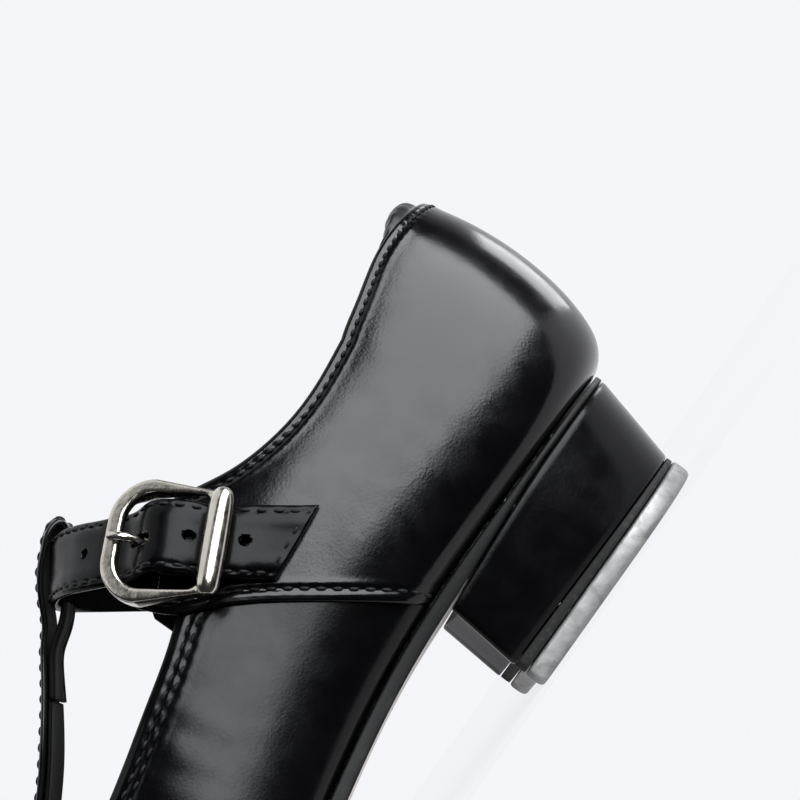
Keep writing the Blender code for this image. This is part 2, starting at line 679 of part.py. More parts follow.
# Chape: a short leather folded round the bar, its two ends stitched down on the quarter.
CHAPE_THICK = 1.0
fold = BAR_RADIUS + 0.35 + CHAPE_THICK / 2
chape_line = [(-7.0, BAR_D - 0.95), (-4.6, BAR_D - 0.2), (-2.6, BAR_D + 0.9)]
chape_line += [(fold * math.cos(math.radians(a)), BAR_D + fold * math.sin(math.radians(a)))
               for a in (125, 90, 55, 20, -15, -50, -80)]
chape_line += [(-2.0, BAR_D - 1.85), (-5.0, BAR_D - 2.0), (-8.5, BAR_D - 2.2), (-11.8, BAR_D - 2.8)]
first, second = band_sides(chape_line, CHAPE_THICK)
wide_steps = steps(-5.5, 5.5, 5)
front = [[placed(u, v, d) for v in wide_steps] for u, d in first]
back = [[placed(u, v, d) for v in wide_steps] for u, d in second]
chape = slab("buckle_chape", front, back, LEATHER)
slot_ring = [[placed(u, v, d) for u, d in ((-3.4, BAR_D - 3.6), (3.6, BAR_D - 3.6), (3.6, BAR_D + 3.4),
                                            (-3.4, BAR_D + 3.4))] for v in (-1.35, 1.35)]
chape_slot = loft("chape_slot", slot_ring, LEATHER, cutters)
cut(chape, chape_slot)

# Holes punched in the strap, and the one the prong passes through.
for i, u in enumerate(HOLE_STATIONS):
    point, along, side, out = strap_frame(u)
    turns = [2 * math.pi * (k + 0.3) / 14 for k in range(14)]
    rings = [[point + along * 1.3 * math.cos(t) + side * 1.3 * math.sin(t) + out * (strap_lift(u) + h)
              for t in turns] for h in (-3, 5)]
    cut(strap_end, loft(f"strap_hole_{i + 1}", rings, LEATHER, cutters))
slot_edge = rounded(1.6, 7.2, 1.25, 1.2, 5)
cut(strap_end, loft("prong_slot", [[placed(u, v, d) for u, v in slot_edge] for d in (2.0, 14.0)],
                    LEATHER, cutters))


# Insole, sock, shank and filler between the upper and the outsole.
def plate_rows(inset, stations, across=9):
    """Points across the bottom of the last at each station, held in from the edge."""
    rows = []
    for s in stations:
        left = last(-1, s, -inset / MARGIN)
        right = last(1, s, -inset / MARGIN)
        rows.append([left.lerp(right, k) for k in steps(0, 1, across)])
    return rows


def plate(name, rows, low, high, material):
    """A plate between two heights above the underside of the insole."""
    front = [[p + Vector((0, 0, high)) for p in row] for row in rows]
    back = [[p + Vector((0, 0, low)) for p in row] for row in rows]
    return slab(name, front, back, material)


bottom_s = steps(-0.96, 0, 8) + steps(0.06, 1, 15) + steps(1.12, 1.96, 7)
insole = plate("insole_board", plate_rows(0.9, bottom_s, 5), 0.3, 1.9, BOARD)
sock = plate("sock_lining", plate_rows(1.1, bottom_s, 5), 2.2, 4.7, SOCK_CLOTH)
filler_s = [s for s in bottom_s if s > 0.66 and s < 1.9]
filler = plate("forepart_filler", plate_rows(MARGIN + 0.6, filler_s, 5), -2.2, -0.4, BOARD)


def strip_rows(ys, half):
    rows = []
    for y in ys:
        z = sole_top(y) + INSOLE_RISE
        rows.append([Vector((x, y, z)) for x in (-half, 0, half)])
    return rows


shank = plate("shank", strip_rows(steps(14, 120, 22), 7.0), -1.9, -0.6, STEEL)


# Outsole: full thickness in front of the heel, pared thin over the heel seat.
def sole_thickness(y):
    return SEAT_THICK + (SOLE_THICK - SEAT_THICK) * ease(y, 15, BREAST_Y + 1)


def sole_outset(s):
    return 1.9 + 1.6 * ease(s, 0.45, 0.75)


def sole_rows(stations, across=5):
    rows = []
    for s in stations:
        ends = []
        for side in (-1, 1):
            p = last(side, s, 0.0)
            before = last(side, max(s - 0.01, -1), 0.0)
            after = last(side, min(s + 0.01, 2), 0.0)
            ahead = (after - before).normalized()
            ends.append(p + ahead.cross(Vector((0, 0, 1))) * side * sole_outset(s))
        rows.append([ends[0].lerp(ends[1], k) for k in steps(0, 1, across)])
    return rows


sole_stations = steps(-0.97, 0, 9) + steps(0.06, 1, 16) + steps(1.1, 1.97, 9)
outline = sole_rows(sole_stations)
front = [[Vector((p.x, p.y, sole_top(p.y))) for p in row] for row in outline]
back = [[Vector((p.x, p.y, sole_top(p.y) - sole_thickness(p.y))) for p in row] for row in outline]
outsole = slab("outsole", front, back, SOLE)


# Heel: a plastic core in a leather cover, a rubber lift and an aluminium tap.
def heel_ring(share, inset, height):
    """One outline of the heel, share 0 at the seat and 1 at the floor."""
    rear = HEEL_Y + 8.3 - 5.4 * share - inset
    half_wide = 27.3 - 2.0 * share - inset
    front_y = BREAST_Y + 1.4 * share - inset
    taper = 0.6 + 0.4 * share
    points = []
    for k in range(13):
        t = math.pi * k / 12
        points.append((-half_wide * math.cos(t), HEEL_Y - rear * math.sin(t)))
    for k in (1, 2, 3):
        points.append((half_wide - taper * (k / 3), HEEL_Y + (front_y - HEEL_Y - 2) * k / 3))
    corner = half_wide - taper
    points.append((corner - 0.6, front_y - 0.6))
    for k in steps(0.94, -0.94, 11):
        hollow = BREAST_HOLLOW * math.cos(k * math.pi / 2) ** 1.2
        points.append((corner * k, front_y - hollow))
    points.append((-corner + 0.6, front_y - 0.6))
    for k in (3, 2, 1):
        points.append((-half_wide + taper * (k / 3), HEEL_Y + (front_y - HEEL_Y - 2) * k / 3))
    return [Vector((x, y, height(y))) for x, y in points]


def seat_z(y):
    return sole_top(y) - sole_thickness(y) - GAP


def lift_z(y):
    return LIFT_REAR_Z + (LIFT_FRONT_Z - LIFT_REAR_Z) * (y + 3) / 57


def between(share):
    return lambda y: seat_z(y) * (1 - share) + (lift_z(y) + GAP) * share


shares = (0.0, 0.15, 0.5, 0.85, 1.0)
outer_rings = [heel_ring(t, 0.0, between(t)) for t in shares]
inner_rings = [heel_ring(t, COVER_THICK, between(t)) for t in shares]
heel_cover = loft("heel_cover", outer_rings + inner_rings[::-1], LEATHER, closed=True)
core_rings = [heel_ring(t, COVER_THICK + GAP, between(t)) for t in shares]
heel_core = loft("heel_core", core_rings, HEEL_PLASTIC)
LIFT_LOW = TAP_THICK + GAP
heel_lift = loft("heel_lift", [heel_ring(1.0, 0.1, lift_z), heel_ring(1.0, 0.1, lambda y: LIFT_LOW)], RUBBER)
tap_section = ((0.9, 0.0), (0.3, 0.35), (-0.1, 1.1), (-0.2, 3.7), (0.1, TAP_THICK))
heel_tap = loft("heel_tap", [heel_ring(1.0, inset, lambda y, h=h: h) for inset, h in tap_section],
                TAP_METAL)


# Toe tap: a flat plate under the toe, rounded with it, hollowed a little at its rear edge.
def toe_ring(inset, height):
    points = []
    for side, stations in ((-1, steps(0.9, 2.0, 14)), (1, steps(2.0, 0.9, 14)[1:])):
        for s in stations:
            spread = 1.0 + 0.6 * ease(s, 1, 2)
            p = last(side, s, 0.0) + (last(side, s, 0.3) - last(side, s, 0.0)) * spread
            middle = Vector((TOE_SWING * 0.5, 185.0, 0))
            inward = (middle - Vector((p.x, p.y, 0))).normalized()
            points.append(Vector((p.x, p.y, height)) + inward * (inset + 0.4))
    points[0].y = points[-1].y = TOE_TAP_REAR_Y + 3 + inset
    left = points[0]
    right = points[-1]
    for k in steps(0.92, 0.08, 9):
        rear = TOE_TAP_REAR_Y + inset + 4.0 * math.sin(k * math.pi)
        points.append(Vector((left.x + (right.x - left.x) * k, rear, height)))
    return points


toe_section = ((0.9, 0.0), (0.3, 0.35), (0.0, 1.1), (0.0, 3.8), (0.3, TAP_THICK))
toe_tap = loft("toe_tap", [toe_ring(inset, h) for inset, h in toe_section], TAP_METAL)

SCREW_HEAD = 3.0
SCREW_SHANK = 1.4


def fit_screw(name, at, top, targets):
    """A countersunk screw from below, and its hole in everything it passes."""
    profile = ((SCREW_HEAD, 0.5), (SCREW_HEAD, 0.9), (SCREW_SHANK, 2.6), (SCREW_SHANK, top - 1.2),
               (0.4, top))
    spindle(name, profile, at, STEEL)
    room = ((SCREW_HEAD + GAP, -1.0), (SCREW_HEAD + GAP, 1.0), (SCREW_SHANK + GAP, 2.75),
            (SCREW_SHANK + GAP, top + 0.3))
    hole = spindle(name + "_hole", room, at, STEEL, cutters)
    for target in targets:
        cut(target, hole)


heel_screws = ((-15.0, 38.0), (15.0, 38.0), (0.0, 6.0))
for i, at in enumerate(heel_screws):
    fit_screw(f"heel_tap_screw_{i + 1}", at, 15.0, (heel_tap, heel_lift, heel_core))
toe_screws = ((-21.0, 176.0), (23.5, 176.0), (3.5, 210.0))
for i, at in enumerate(toe_screws):
    fit_screw(f"toe_tap_screw_{i + 1}", at, 7.0, (toe_tap, outsole))

# Fixings that hold the heel on, driven down through the insole board.
FIXING_TOP = 1.6
for i, at in enumerate(((0.0, 8.0), (-14.0, 27.0), (14.0, 27.0), (0.0, 44.0))):
    head_z = sole_top(at[1]) + INSOLE_RISE + FIXING_TOP
    radius = 1.1
    spindle(f"heel_nail_{i + 1}", ((0.3, 15.6), (radius, 17.0), (radius, head_z - 1.0), (2.2, head_z - 0.6),
                                   (2.2, head_z)), at, STEEL, sides=12)
    room = spindle(f"heel_nail_hole_{i + 1}",
                   ((radius + GAP, 15.2), (radius + GAP, head_z - 1.35), (2.2 + GAP, head_z - 1.0),
                    (2.2 + GAP, head_z + 1.0)), at, STEEL, cutters, sides=12)
    for target in (insole, shank, outsole, heel_core):
        cut(target, room)

# Hinges: the origin of each moving piece lies on its own axis.
hinge_point, hinge_along, hinge_across, hinge_out = strap_frame(HINGE_U)
hinge_at = hinge_point + hinge_out * (strap_lift(HINGE_U) + STRAP_THICK)
bar_at = placed(0, 0, BAR_D)
for name, at in (("strap_end", hinge_at), ("buckle_frame", bar_at), ("buckle_bar", bar_at),
                 ("buckle_prong", bar_at)):
    piece = bpy.data.objects[name]
    piece.data.transform(Matrix.Translation(-at * MM))
    piece.location = at * MM
for piece in list(shoe.objects) + list(cutters.objects):
    piece.location += Vector((SHIFT_X, SHIFT_Y, 0)) * MM
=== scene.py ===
"""Studio scene of the tap shoe: fine leather, stitching, lining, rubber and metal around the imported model.

Shapes are worked out in millimetres over the same last as the solids, with +Y to the toe, +X to the
medial side and Y counted from just ahead of the heel tap's rear edge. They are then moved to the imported
model.
"""
import math

import bmesh
import bpy
import numpy as np
from mathutils import Matrix, Vector
from mathutils.kdtree import KDTree


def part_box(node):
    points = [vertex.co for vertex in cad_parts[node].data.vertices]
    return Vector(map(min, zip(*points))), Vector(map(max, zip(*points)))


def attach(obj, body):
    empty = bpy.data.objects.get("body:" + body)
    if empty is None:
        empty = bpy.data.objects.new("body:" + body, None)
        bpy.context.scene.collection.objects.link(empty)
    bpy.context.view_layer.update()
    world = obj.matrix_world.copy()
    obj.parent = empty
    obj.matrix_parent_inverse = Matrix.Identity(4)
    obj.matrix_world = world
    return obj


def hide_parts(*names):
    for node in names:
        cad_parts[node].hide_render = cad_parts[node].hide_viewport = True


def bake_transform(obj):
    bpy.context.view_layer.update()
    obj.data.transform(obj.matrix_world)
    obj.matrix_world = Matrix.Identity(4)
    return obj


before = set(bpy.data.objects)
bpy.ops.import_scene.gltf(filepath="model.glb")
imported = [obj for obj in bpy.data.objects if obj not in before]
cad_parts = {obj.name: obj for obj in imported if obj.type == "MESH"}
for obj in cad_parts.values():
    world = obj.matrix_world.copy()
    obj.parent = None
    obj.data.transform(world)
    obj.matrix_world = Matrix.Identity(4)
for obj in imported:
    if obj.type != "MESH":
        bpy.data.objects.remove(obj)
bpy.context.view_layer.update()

MM = 0.001
TAP_REAR = 3.1  # how far the heel tap reaches behind Y = 0
tap_low, tap_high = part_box("heel_tap")
SHIFT = np.array([(tap_low.x + tap_high.x) / 2, tap_low.y + TAP_REAR * MM, 0.0])

# The last, as in the solids.
HEEL_Y = 22.0
TOE_Y = 183.0
HEEL_REACH = 28.5
HEEL_BULGE = 10.5
HEEL_BULGE_RISE = 7.0
BACK_LEAN = 3.0
TOE_REACH = 38.5
TOE_BULGE = 2.4
TOE_SWING = 5.0
MARGIN = 9.0
INSOLE_RISE = 2.6

# Leather thickness, and how far the outer layers stand off the last.
SKIN = 1.1
OUTER = 1.1
LINING_THICK = 0.8
OVER_STIFFENER = 1.4
OVER_TOE_PUFF = 1.3
STEP_END = 0.4

SOLE_THICK = 3.2
SEAT_THICK = 1.3
BREAST_Y = 52.5
LIFT_REAR_Z = 5.7
LIFT_FRONT_Z = 6.9
TAP_THICK = 4.2
GAP = 0.3
BREAST_HOLLOW = 5.5
TOE_TAP_REAR_Y = 163.0

BUCKLE_Y = 74.55
BUCKLE_Z = 73.13
STRAP_LEAN = 0.775
STRAP_WIDE = 14.8
STRAP_THICK = 1.9
HOLE_STATIONS = (18.1, -5.3, -14.6)
HINGE_X = -8.0
BAR_RADIUS = 0.9
BAR_D = 6.7
BUCKLE_TURN = 5.35  # degrees that the buckle is turned on the strap
BUCKLE_V = -1.3  # and how low it sits


def spline(*points):
    """A smooth curve through the points, straight beyond both ends."""
    x, y = np.array(points, float).T
    n = len(x)
    h = np.diff(x)
    a = np.eye(n)
    b = np.zeros(n)
    for i in range(1, n - 1):
        a[i, i - 1 : i + 2] = h[i - 1], 2 * (h[i - 1] + h[i]), h[i]
        b[i] = 6 * ((y[i + 1] - y[i]) / h[i] - (y[i] - y[i - 1]) / h[i - 1])
    m = np.linalg.solve(a, b)
    first_slope = (y[1] - y[0]) / h[0] - h[0] * m[1] / 6
    last_slope = (y[-1] - y[-2]) / h[-1] + h[-1] * m[-2] / 6

    def at(value):
        value = np.asarray(value, float)
        held = np.clip(value, x[0], x[-1])
        i = np.clip(np.searchsorted(x, held) - 1, 0, n - 2)
        t = held - x[i]
        slope = (y[i + 1] - y[i]) / h[i] - h[i] * (2 * m[i] + m[i + 1]) / 6
        inside = y[i] + slope * t + m[i] * t * t / 2 + (m[i + 1] - m[i]) * t**3 / (6 * h[i])
        before, after = np.minimum(value - x[0], 0), np.maximum(value - x[-1], 0)
        return inside + first_slope * before + last_slope * after

    return at


def ease(value, start, end):
    t = np.clip((np.asarray(value, float) - start) / (end - start), 0.0, 1.0)
    return t * t * (3 - 2 * t)


sole_top = spline((-10, 27.8), (20, 27.4), (52, 27.0), (72, 25.2), (95, 20.8), (120, 14.8),
                  (145, 9.3), (162, 7.8), (180, 7.7), (205, 7.7), (228, 9.4))
edge_lateral = spline((-20, 24.0), (10, 24.8), (30, 25.4), (52, 25.2), (75, 26.4), (100, 31.0),
                      (125, 35.8), (145, 37.4), (165, 36.0), (183, 32.5), (205, 28.5))
edge_medial = spline((-20, 24.0), (10, 24.8), (30, 25.0), (52, 22.8), (75, 20.0), (95, 21.0),
                     (120, 28.8), (145, 35.0), (160, 36.0), (183, 33.6), (205, 30.5))
wide_lateral = spline((-20, 28.4), (10, 29.6), (30, 30.2), (52, 31.0), (75, 32.2), (100, 35.4),
                      (125, 38.6), (145, 39.6), (165, 38.2), (183, 34.8), (205, 30.8))
wide_medial = spline((-20, 28.4), (10, 29.6), (30, 30.0), (52, 29.4), (75, 29.2), (100, 31.6),
                     (125, 35.6), (145, 38.0), (160, 38.4), (183, 36.0), (205, 32.6))
wide_rise = spline((-20, 21), (22, 21), (52, 22), (75, 22), (100, 20), (125, 14.5),
                   (145, 11.5), (165, 10), (225, 9))
ridge = spline((-20, 150), (22, 150), (60, 120), (92, 93.5), (115, 76), (130, 66),
               (150, 55), (170, 46.5), (190, 38.5), (225, 28))
lean = spline((-20, 5), (22, 5), (50, 3), (74, 1.7), (90, 1.1), (105, 1), (230, 1))
collar_line = spline((-1, 78.2), (-0.75, 78.4), (-0.52, 78.1), (-0.32, 76.6), (-0.12, 73.3),
                     (0, 71.2), (0.06, 69.8), (0.12, 69.6), (0.17, 70.8), (0.22, 73.4),
                     (0.27, 77.6), (0.33, 81.5), (0.38, 80.5), (0.41, 75.0))
quarter_seam = spline((52.4, 27.1), (65.1, 43.2), (77.4, 58.0), (82, 62.0), (86, 66.5), (88, 71))
vamp_line = spline((46, 37), (52, 42), (60, 49), (68, 57), (75, 62.5), (82, 64.6), (90, 62.2),
                   (102, 58.2), (119, 53), (132, 50.4), (139, 50.6), (143.5, 53))
SEAM_S = (52.4 - HEEL_Y) / (TOE_Y - HEEL_Y)
TAB_S = 0.409
THROAT_S = (143.5 - HEEL_Y) / (TOE_Y - HEEL_Y)
THROAT_END_S = THROAT_S + 0.026


def station_y(s):
    return HEEL_Y + np.clip(s, 0, 1) * (TOE_Y - HEEL_Y)


def station_s(y):
    return (y - HEEL_Y) / (TOE_Y - HEEL_Y)


def unit(vectors):
    return vectors / np.maximum(np.linalg.norm(vectors, axis=-1, keepdims=True), 1e-12)


def last(side, s, q):
    """Points of the last. s: -1 back, 0 heel, 1 toe centre, 2 tip. q: 0 bottom edge, 1 widest, 2 top."""
    side, s, q = np.broadcast_arrays(np.asarray(side, float), np.asarray(s, float), np.asarray(q, float))
    turn = math.pi / 2 * np.maximum(np.maximum(-s, s - 1), 0)
    low = math.pi / 2 * np.clip(q, 0, 1)
    high = math.pi / 2 * np.clip(q - 1, 0, 1)
    under = MARGIN * np.minimum(q, 0)
    closing = np.maximum(np.cos(high), 0)
    back = (HEEL_REACH + HEEL_BULGE * np.sin(low)) * closing**BACK_LEAN + under
    front = (TOE_REACH + TOE_BULGE * np.sin(low)) * closing + under
    y = station_y(s) - np.where(s < 0, back, 0) * np.sin(turn) + np.where(s > 1, front, 0) * np.sin(turn)
    edge = np.where(side < 0, edge_lateral(y), edge_medial(y))
    wide = np.where(side < 0, wide_lateral(y), wide_medial(y))
    x = (edge + (wide - edge) * np.sin(low)) * closing ** np.maximum(lean(y), 1.0) + under
    rise = wide_rise(y) + np.where(s < 0, HEEL_BULGE_RISE * np.sin(turn) ** 2, 0)
    base = sole_top(y) + INSOLE_RISE
    z = base + rise * (1 - np.cos(low))
    z = np.where(q > 1, base + rise + (ridge(y) - base - rise) * np.sin(high), z)
    swing = TOE_SWING * (np.maximum(y - 140, 0) / 85) ** 2
    return np.stack([side * x * np.cos(turn) + swing, y, z], axis=-1)


def one_side_normal(side, s, q):
    near = np.minimum(q, 1.96)
    ahead = last(side, np.minimum(s + 0.01, 2), near) - last(side, np.maximum(s - 0.01, -1), near)
    up = last(side, s, near + 0.02) - last(side, s, near - 0.02)
    out = np.cross(up, ahead) * -side[..., None]
    out[..., 0] = np.where((q >= 2) | (s <= -1) | (s >= 2), 0.0, out[..., 0])
    return unit(out)


def normal(side, s, q):
    """The outward direction, which both sides share along the ridge."""
    side, s, q = np.broadcast_arrays(np.asarray(side, float), np.asarray(s, float), np.asarray(q, float))
    out = one_side_normal(side, s, q)
    both = unit(one_side_normal(-np.ones(s.shape), s, q) + one_side_normal(np.ones(s.shape), s, q))
    return np.where((q >= 2)[..., None], both, out)


def off(side, s, q, distance):
    return last(side, s, q) + normal(side, s, q) * np.asarray(distance, float)[..., None]


def q_at(side, s, z):
    """The q at which these stations reach the height z."""
    side, s, z = np.broadcast_arrays(np.asarray(side, float), np.asarray(s, float), np.asarray(z, float))
    low = np.zeros(s.shape)
    high = np.full(s.shape, 2.0)
    for _ in range(24):
        middle = (low + high) / 2
        under = last(side, s, middle)[..., 2] < z
        low = np.where(under, middle, low)
        high = np.where(under, high, middle)
    return low


def spread(side, s, low, high, shares):
    """q at these shares of the way over the surface from low to high, one row for each station."""
    tries = np.linspace(0, 1, 61)
    q = low[:, None] + (high - low)[:, None] * tries
    line = last(side[:, None], s[:, None], q)
    steps = np.linalg.norm(np.diff(line, axis=1), axis=2)
    runs = np.concatenate([np.zeros((len(s), 1)), np.cumsum(steps, axis=1)], axis=1)
    return np.array([np.interp(shares * run[-1], run, row) for run, row in zip(runs, q)])


def over(x, y, distance):
    """Points over the instep at this x and y, held off the last."""
    x, y, distance = np.broadcast_arrays(*(np.asarray(v, float) for v in (x, y, distance)))
    side = np.where(x < 0, -1.0, 1.0)
    wide = np.where(x < 0, wide_lateral(y), wide_medial(y))
    share = np.minimum(np.abs(x) / wide, 1.0) ** (1 / np.maximum(lean(y), 1.0))
    q = 1 + np.arccos(share) / (math.pi / 2)
    return off(side, station_s(y), q, distance)


def chained(*runs):
    """Even steps along each (start, end, count), where each run starts on the last one's end."""
    parts = [np.linspace(*run) for run in runs]
    return np.concatenate([part[:-1] for part in parts[:-1]] + parts[-1:])


def dense_ends(count):
    """Shares from 0 to 1 that crowd towards both ends."""
    even = np.linspace(0, 1, count)
    return even * 0.15 + (0.5 - 0.5 * np.cos(math.pi * even)) * 0.85


# Materials.
class Surface:
    """A node material that is built up from noise in the object's own space."""

    def __init__(self, name, color, rough, metal=0.0):
        self.material = bpy.data.materials.new(name)
        self.material.use_nodes = True
        self.tree = self.material.node_tree
        self.shader = self.tree.nodes["Principled BSDF"]
        self.shader.inputs["Base Color"].default_value = (*color, 1)
        self.shader.inputs["Roughness"].default_value = rough
        self.shader.inputs["Metallic"].default_value = metal
        self.color = color
        self.place = self.add("ShaderNodeTexCoord").outputs["Object"]
        self.height = None

    def add(self, kind, **settings):
        node = self.tree.nodes.new(kind)
        for key, value in settings.items():
            if key in node.inputs:
                node.inputs[key].default_value = value
            else:
                setattr(node, key, value)
        return node

    def join(self, source, target):
        self.tree.links.new(source, target)

    def set(self, name, value):
        self.shader.inputs[name].default_value = value
        return self

    def stretched(self, scale):
        mapping = self.add("ShaderNodeMapping")
        mapping.inputs["Scale"].default_value = scale
        self.join(self.place, mapping.inputs["Vector"])
        return mapping.outputs["Vector"]

    def noise(self, size_mm, detail=3.0, rough=0.55, stretch=None, warp=0.0):
        node = self.add("ShaderNodeTexNoise", Scale=1000.0 / size_mm, Detail=detail, Roughness=rough,
                        Distortion=warp)
        self.join(self.stretched(stretch) if stretch else self.place, node.inputs["Vector"])
        return node.outputs["Fac"]

    def cells(self, size_mm, feature="F1"):
        node = self.add("ShaderNodeTexVoronoi", feature=feature, Scale=1000.0 / size_mm)
        self.join(self.place, node.inputs["Vector"])
        return node.outputs["Distance"]

    def weave(self, size_mm, direction="X"):
        node = self.add("ShaderNodeTexWave", bands_direction=direction, Scale=1000.0 / size_mm / 3.14,
                        Distortion=0.6, Detail=1.0)
        self.join(self.place, node.inputs["Vector"])
        return node.outputs["Fac"]

    def ramp(self, source, low, high, first=0.0, second=1.0):
        node = self.add("ShaderNodeMapRange", interpolation_type="SMOOTHSTEP")
        node.inputs["From Min"].default_value = low
        node.inputs["From Max"].default_value = high
        node.inputs["To Min"].default_value = first
        node.inputs["To Max"].default_value = second
        self.join(source, node.inputs["Value"])
        return node.outputs["Result"]

    def tint(self, mask, color):
        """Blends another colour over what is there."""
        mix = self.add("ShaderNodeMix", data_type="RGBA")
        self.join(mask, mix.inputs[0])
        held = self.shader.inputs["Base Color"]
        if held.links:
            self.join(held.links[0].from_socket, mix.inputs[6])
        else:
            mix.inputs[6].default_value = (*self.color, 1)
        mix.inputs[7].default_value = (*color, 1)
        self.join(mix.outputs[2], held)
        return self

    def spots(self, size_mm, detail, low, high, color):
        return self.tint(self.ramp(self.noise(size_mm, detail), low, high), color)

    def roughen(self, mask, low, high):
        self.join(self.ramp(mask, 0.3, 0.7, low, high), self.shader.inputs["Roughness"])
        return self

    def bump(self, source, height_mm, strength=1.0):
        node = self.add("ShaderNodeBump", Strength=strength, Distance=height_mm * MM)
        self.join(source, node.inputs["Height"])
        if self.height is not None:
            self.join(self.height, node.inputs["Normal"])
        self.height = node.outputs["Normal"]
        self.join(self.height, self.shader.inputs["Normal"])
        return self


def leather(name, rough=0.16, creases=0.0, shine=0.30):
    """Smooth black upper leather with a glossy finish."""
    made = Surface(name, (0.0012, 0.0012, 0.0015), rough)
    made.set("Specular IOR Level", shine)
    made.set("Coat Weight", 0.10)
    made.set("Coat Roughness", 0.16)
    made.spots(14.0, 4.0, 0.45, 0.75, (0.0020, 0.0021, 0.0025))
    made.roughen(made.noise(6.0, 5.0), rough - 0.03, rough + 0.05)
    made.bump(made.noise(9.0, 2.0), 0.10, 0.5)
    made.bump(made.cells(0.55, "SMOOTH_F1"), 0.022, 0.55)
    made.bump(made.noise(0.22, 2.0), 0.006, 0.6)
    if creases:
        made.bump(made.noise(2.6, 4.0, 0.6, (1.0, 0.45, 1.0), 0.6), creases, 0.8)
    return made.material


LEATHER = leather("upper_leather")
VAMP_LEATHER = leather("vamp_leather", 0.21, 0.02, 0.18)
STRAP_LEATHER = leather("strap_leather", 0.27, 0.02, 0.08)
HEEL_LEATHER = leather("heel_leather", 0.18, 0.0, 0.12)


def leather_back():
    """The dull, dyed back of a strip of leather."""
    made = Surface("leather_back", (0.0035, 0.0035, 0.0038), 0.72)
    made.set("Specular IOR Level", 0.10)
    made.spots(1.2, 4.0, 0.5, 0.8, (0.007, 0.007, 0.007))
    made.bump(made.noise(0.5, 3.0), 0.05, 0.6)
    return made.material


def thread():
    made = Surface("waxed_thread", (0.004, 0.004, 0.0045), 0.55)
    made.set("Specular IOR Level", 0.25)
    made.bump(made.weave(0.32, "DIAGONAL"), 0.05, 0.7)
    made.tint(made.ramp(made.noise(0.6), 0.4, 0.8), (0.007, 0.007, 0.008))
    return made.material


def lining_cloth():
    made = Surface("lining_cloth", (0.010, 0.010, 0.011), 0.78)
    made.set("Specular IOR Level", 0.15)
    made.set("Sheen Weight", 0.05)
    made.spots(3.0, 5.0, 0.35, 0.75, (0.022, 0.0215, 0.0225))
    made.bump(made.weave(0.55, "X"), 0.04, 0.5)
    made.bump(made.weave(0.55, "Z"), 0.04, 0.5)
    made.bump(made.noise(0.3), 0.03, 0.5)
    return made.material


def sock_cloth():
    made = Surface("sock_leather", (0.075, 0.075, 0.078), 0.62)
    made.spots(7.0, 5.0, 0.35, 0.7, (0.11, 0.108, 0.108))
    made.tint(made.ramp(made.cells(2.6), 0.10, 0.16, 1.0, 0.0), (0.02, 0.02, 0.02))
    made.bump(made.cells(2.6), 0.15, 0.35)
    made.bump(made.cells(0.6, "SMOOTH_F1"), 0.03, 0.6)
    return made.material


def sole_edge():
    made = Surface("sole_edge", (0.006, 0.006, 0.0062), 0.46)
    made.set("Specular IOR Level", 0.16)
    made.tint(made.ramp(made.noise(2.4, 5.0, 0.6, (1, 0.3, 1)), 0.5, 0.75), (0.016, 0.0155, 0.015))
    made.bump(made.noise(1.2, 4.0, 0.6, (1, 0.25, 1)), 0.06, 0.5)
    return made.material


def sole_leather():
    made = Surface("sole_leather", (0.60, 0.575, 0.54), 0.62)
    made.spots(5.0, 6.0, 0.4, 0.75, (0.50, 0.47, 0.43))
    made.tint(made.ramp(made.noise(0.7, 3.0, 0.7, (1, 0.12, 1)), 0.62, 0.74), (0.33, 0.31, 0.29))
    made.bump(made.noise(0.5, 4.0), 0.05, 0.6)
    made.bump(made.noise(2.0, 3.0, 0.5, (1, 0.2, 1)), 0.05, 0.5)
    return made.material


def rubber():
    made = Surface("lift_rubber", (0.010, 0.010, 0.0102), 0.66)
    made.set("Specular IOR Level", 0.2)
    made.spots(1.1, 5.0, 0.5, 0.72, (0.026, 0.0255, 0.025))
    made.bump(made.noise(0.45, 4.0), 0.06, 0.7)
    made.bump(made.noise(1.6, 2.0, 0.5, (0.2, 0.2, 2.0)), 0.06, 0.5)
    return made.material


def tap_metal():
    """Cast aluminium, tumbled, with a cloudy patina and small casting pits."""
    made = Surface("tap_aluminium", (0.25, 0.25, 0.248), 0.42, 0.75)
    made.tint(made.ramp(made.noise(5.5, 6.0, 0.65, None, 1.2), 0.42, 0.68), (0.16, 0.158, 0.154))
    made.tint(made.ramp(made.noise(1.6, 5.0, 0.7), 0.60, 0.72), (0.09, 0.087, 0.082))
    made.roughen(made.noise(3.0, 5.0), 0.36, 0.56)
    made.bump(made.noise(3.2, 3.0), 0.10, 0.5)
    made.bump(made.noise(0.5, 4.0), 0.03, 0.6)
    made.bump(made.cells(1.8), 0.05, 0.25)
    return made.material


def nickel():
    made = Surface("buckle_nickel", (0.66, 0.62, 0.55), 0.19, 1.0)
    made.spots(4.0, 5.0, 0.45, 0.7, (0.54, 0.505, 0.45))
    made.roughen(made.noise(1.4, 5.0), 0.15, 0.27)
    made.bump(made.noise(2.4, 2.0), 0.09, 0.45)
    made.bump(made.noise(0.35, 3.0), 0.006, 0.5)
    return made.material


def brushed(name, color, rough):
    made = Surface(name, color, rough, 1.0)
    made.roughen(made.noise(0.8, 4.0, 0.6, (0.15, 1, 1)), rough - 0.06, rough + 0.1)
    made.spots(2.0, 5.0, 0.5, 0.75, tuple(c * 0.7 for c in color))
    made.bump(made.noise(0.3, 2.0, 0.5, (0.1, 1, 1)), 0.015, 0.6)
    return made.material


def pressed_fibre(name, color, dark):
    made = Surface(name, color, 0.88)
    made.spots(1.3, 6.0, 0.4, 0.7, dark)
    made.tint(made.ramp(made.cells(0.9), 0.05, 0.2, 0.6, 0.0), tuple(c * 0.6 for c in dark))
    made.bump(made.noise(0.4, 4.0), 0.08, 0.7)
    return made.material


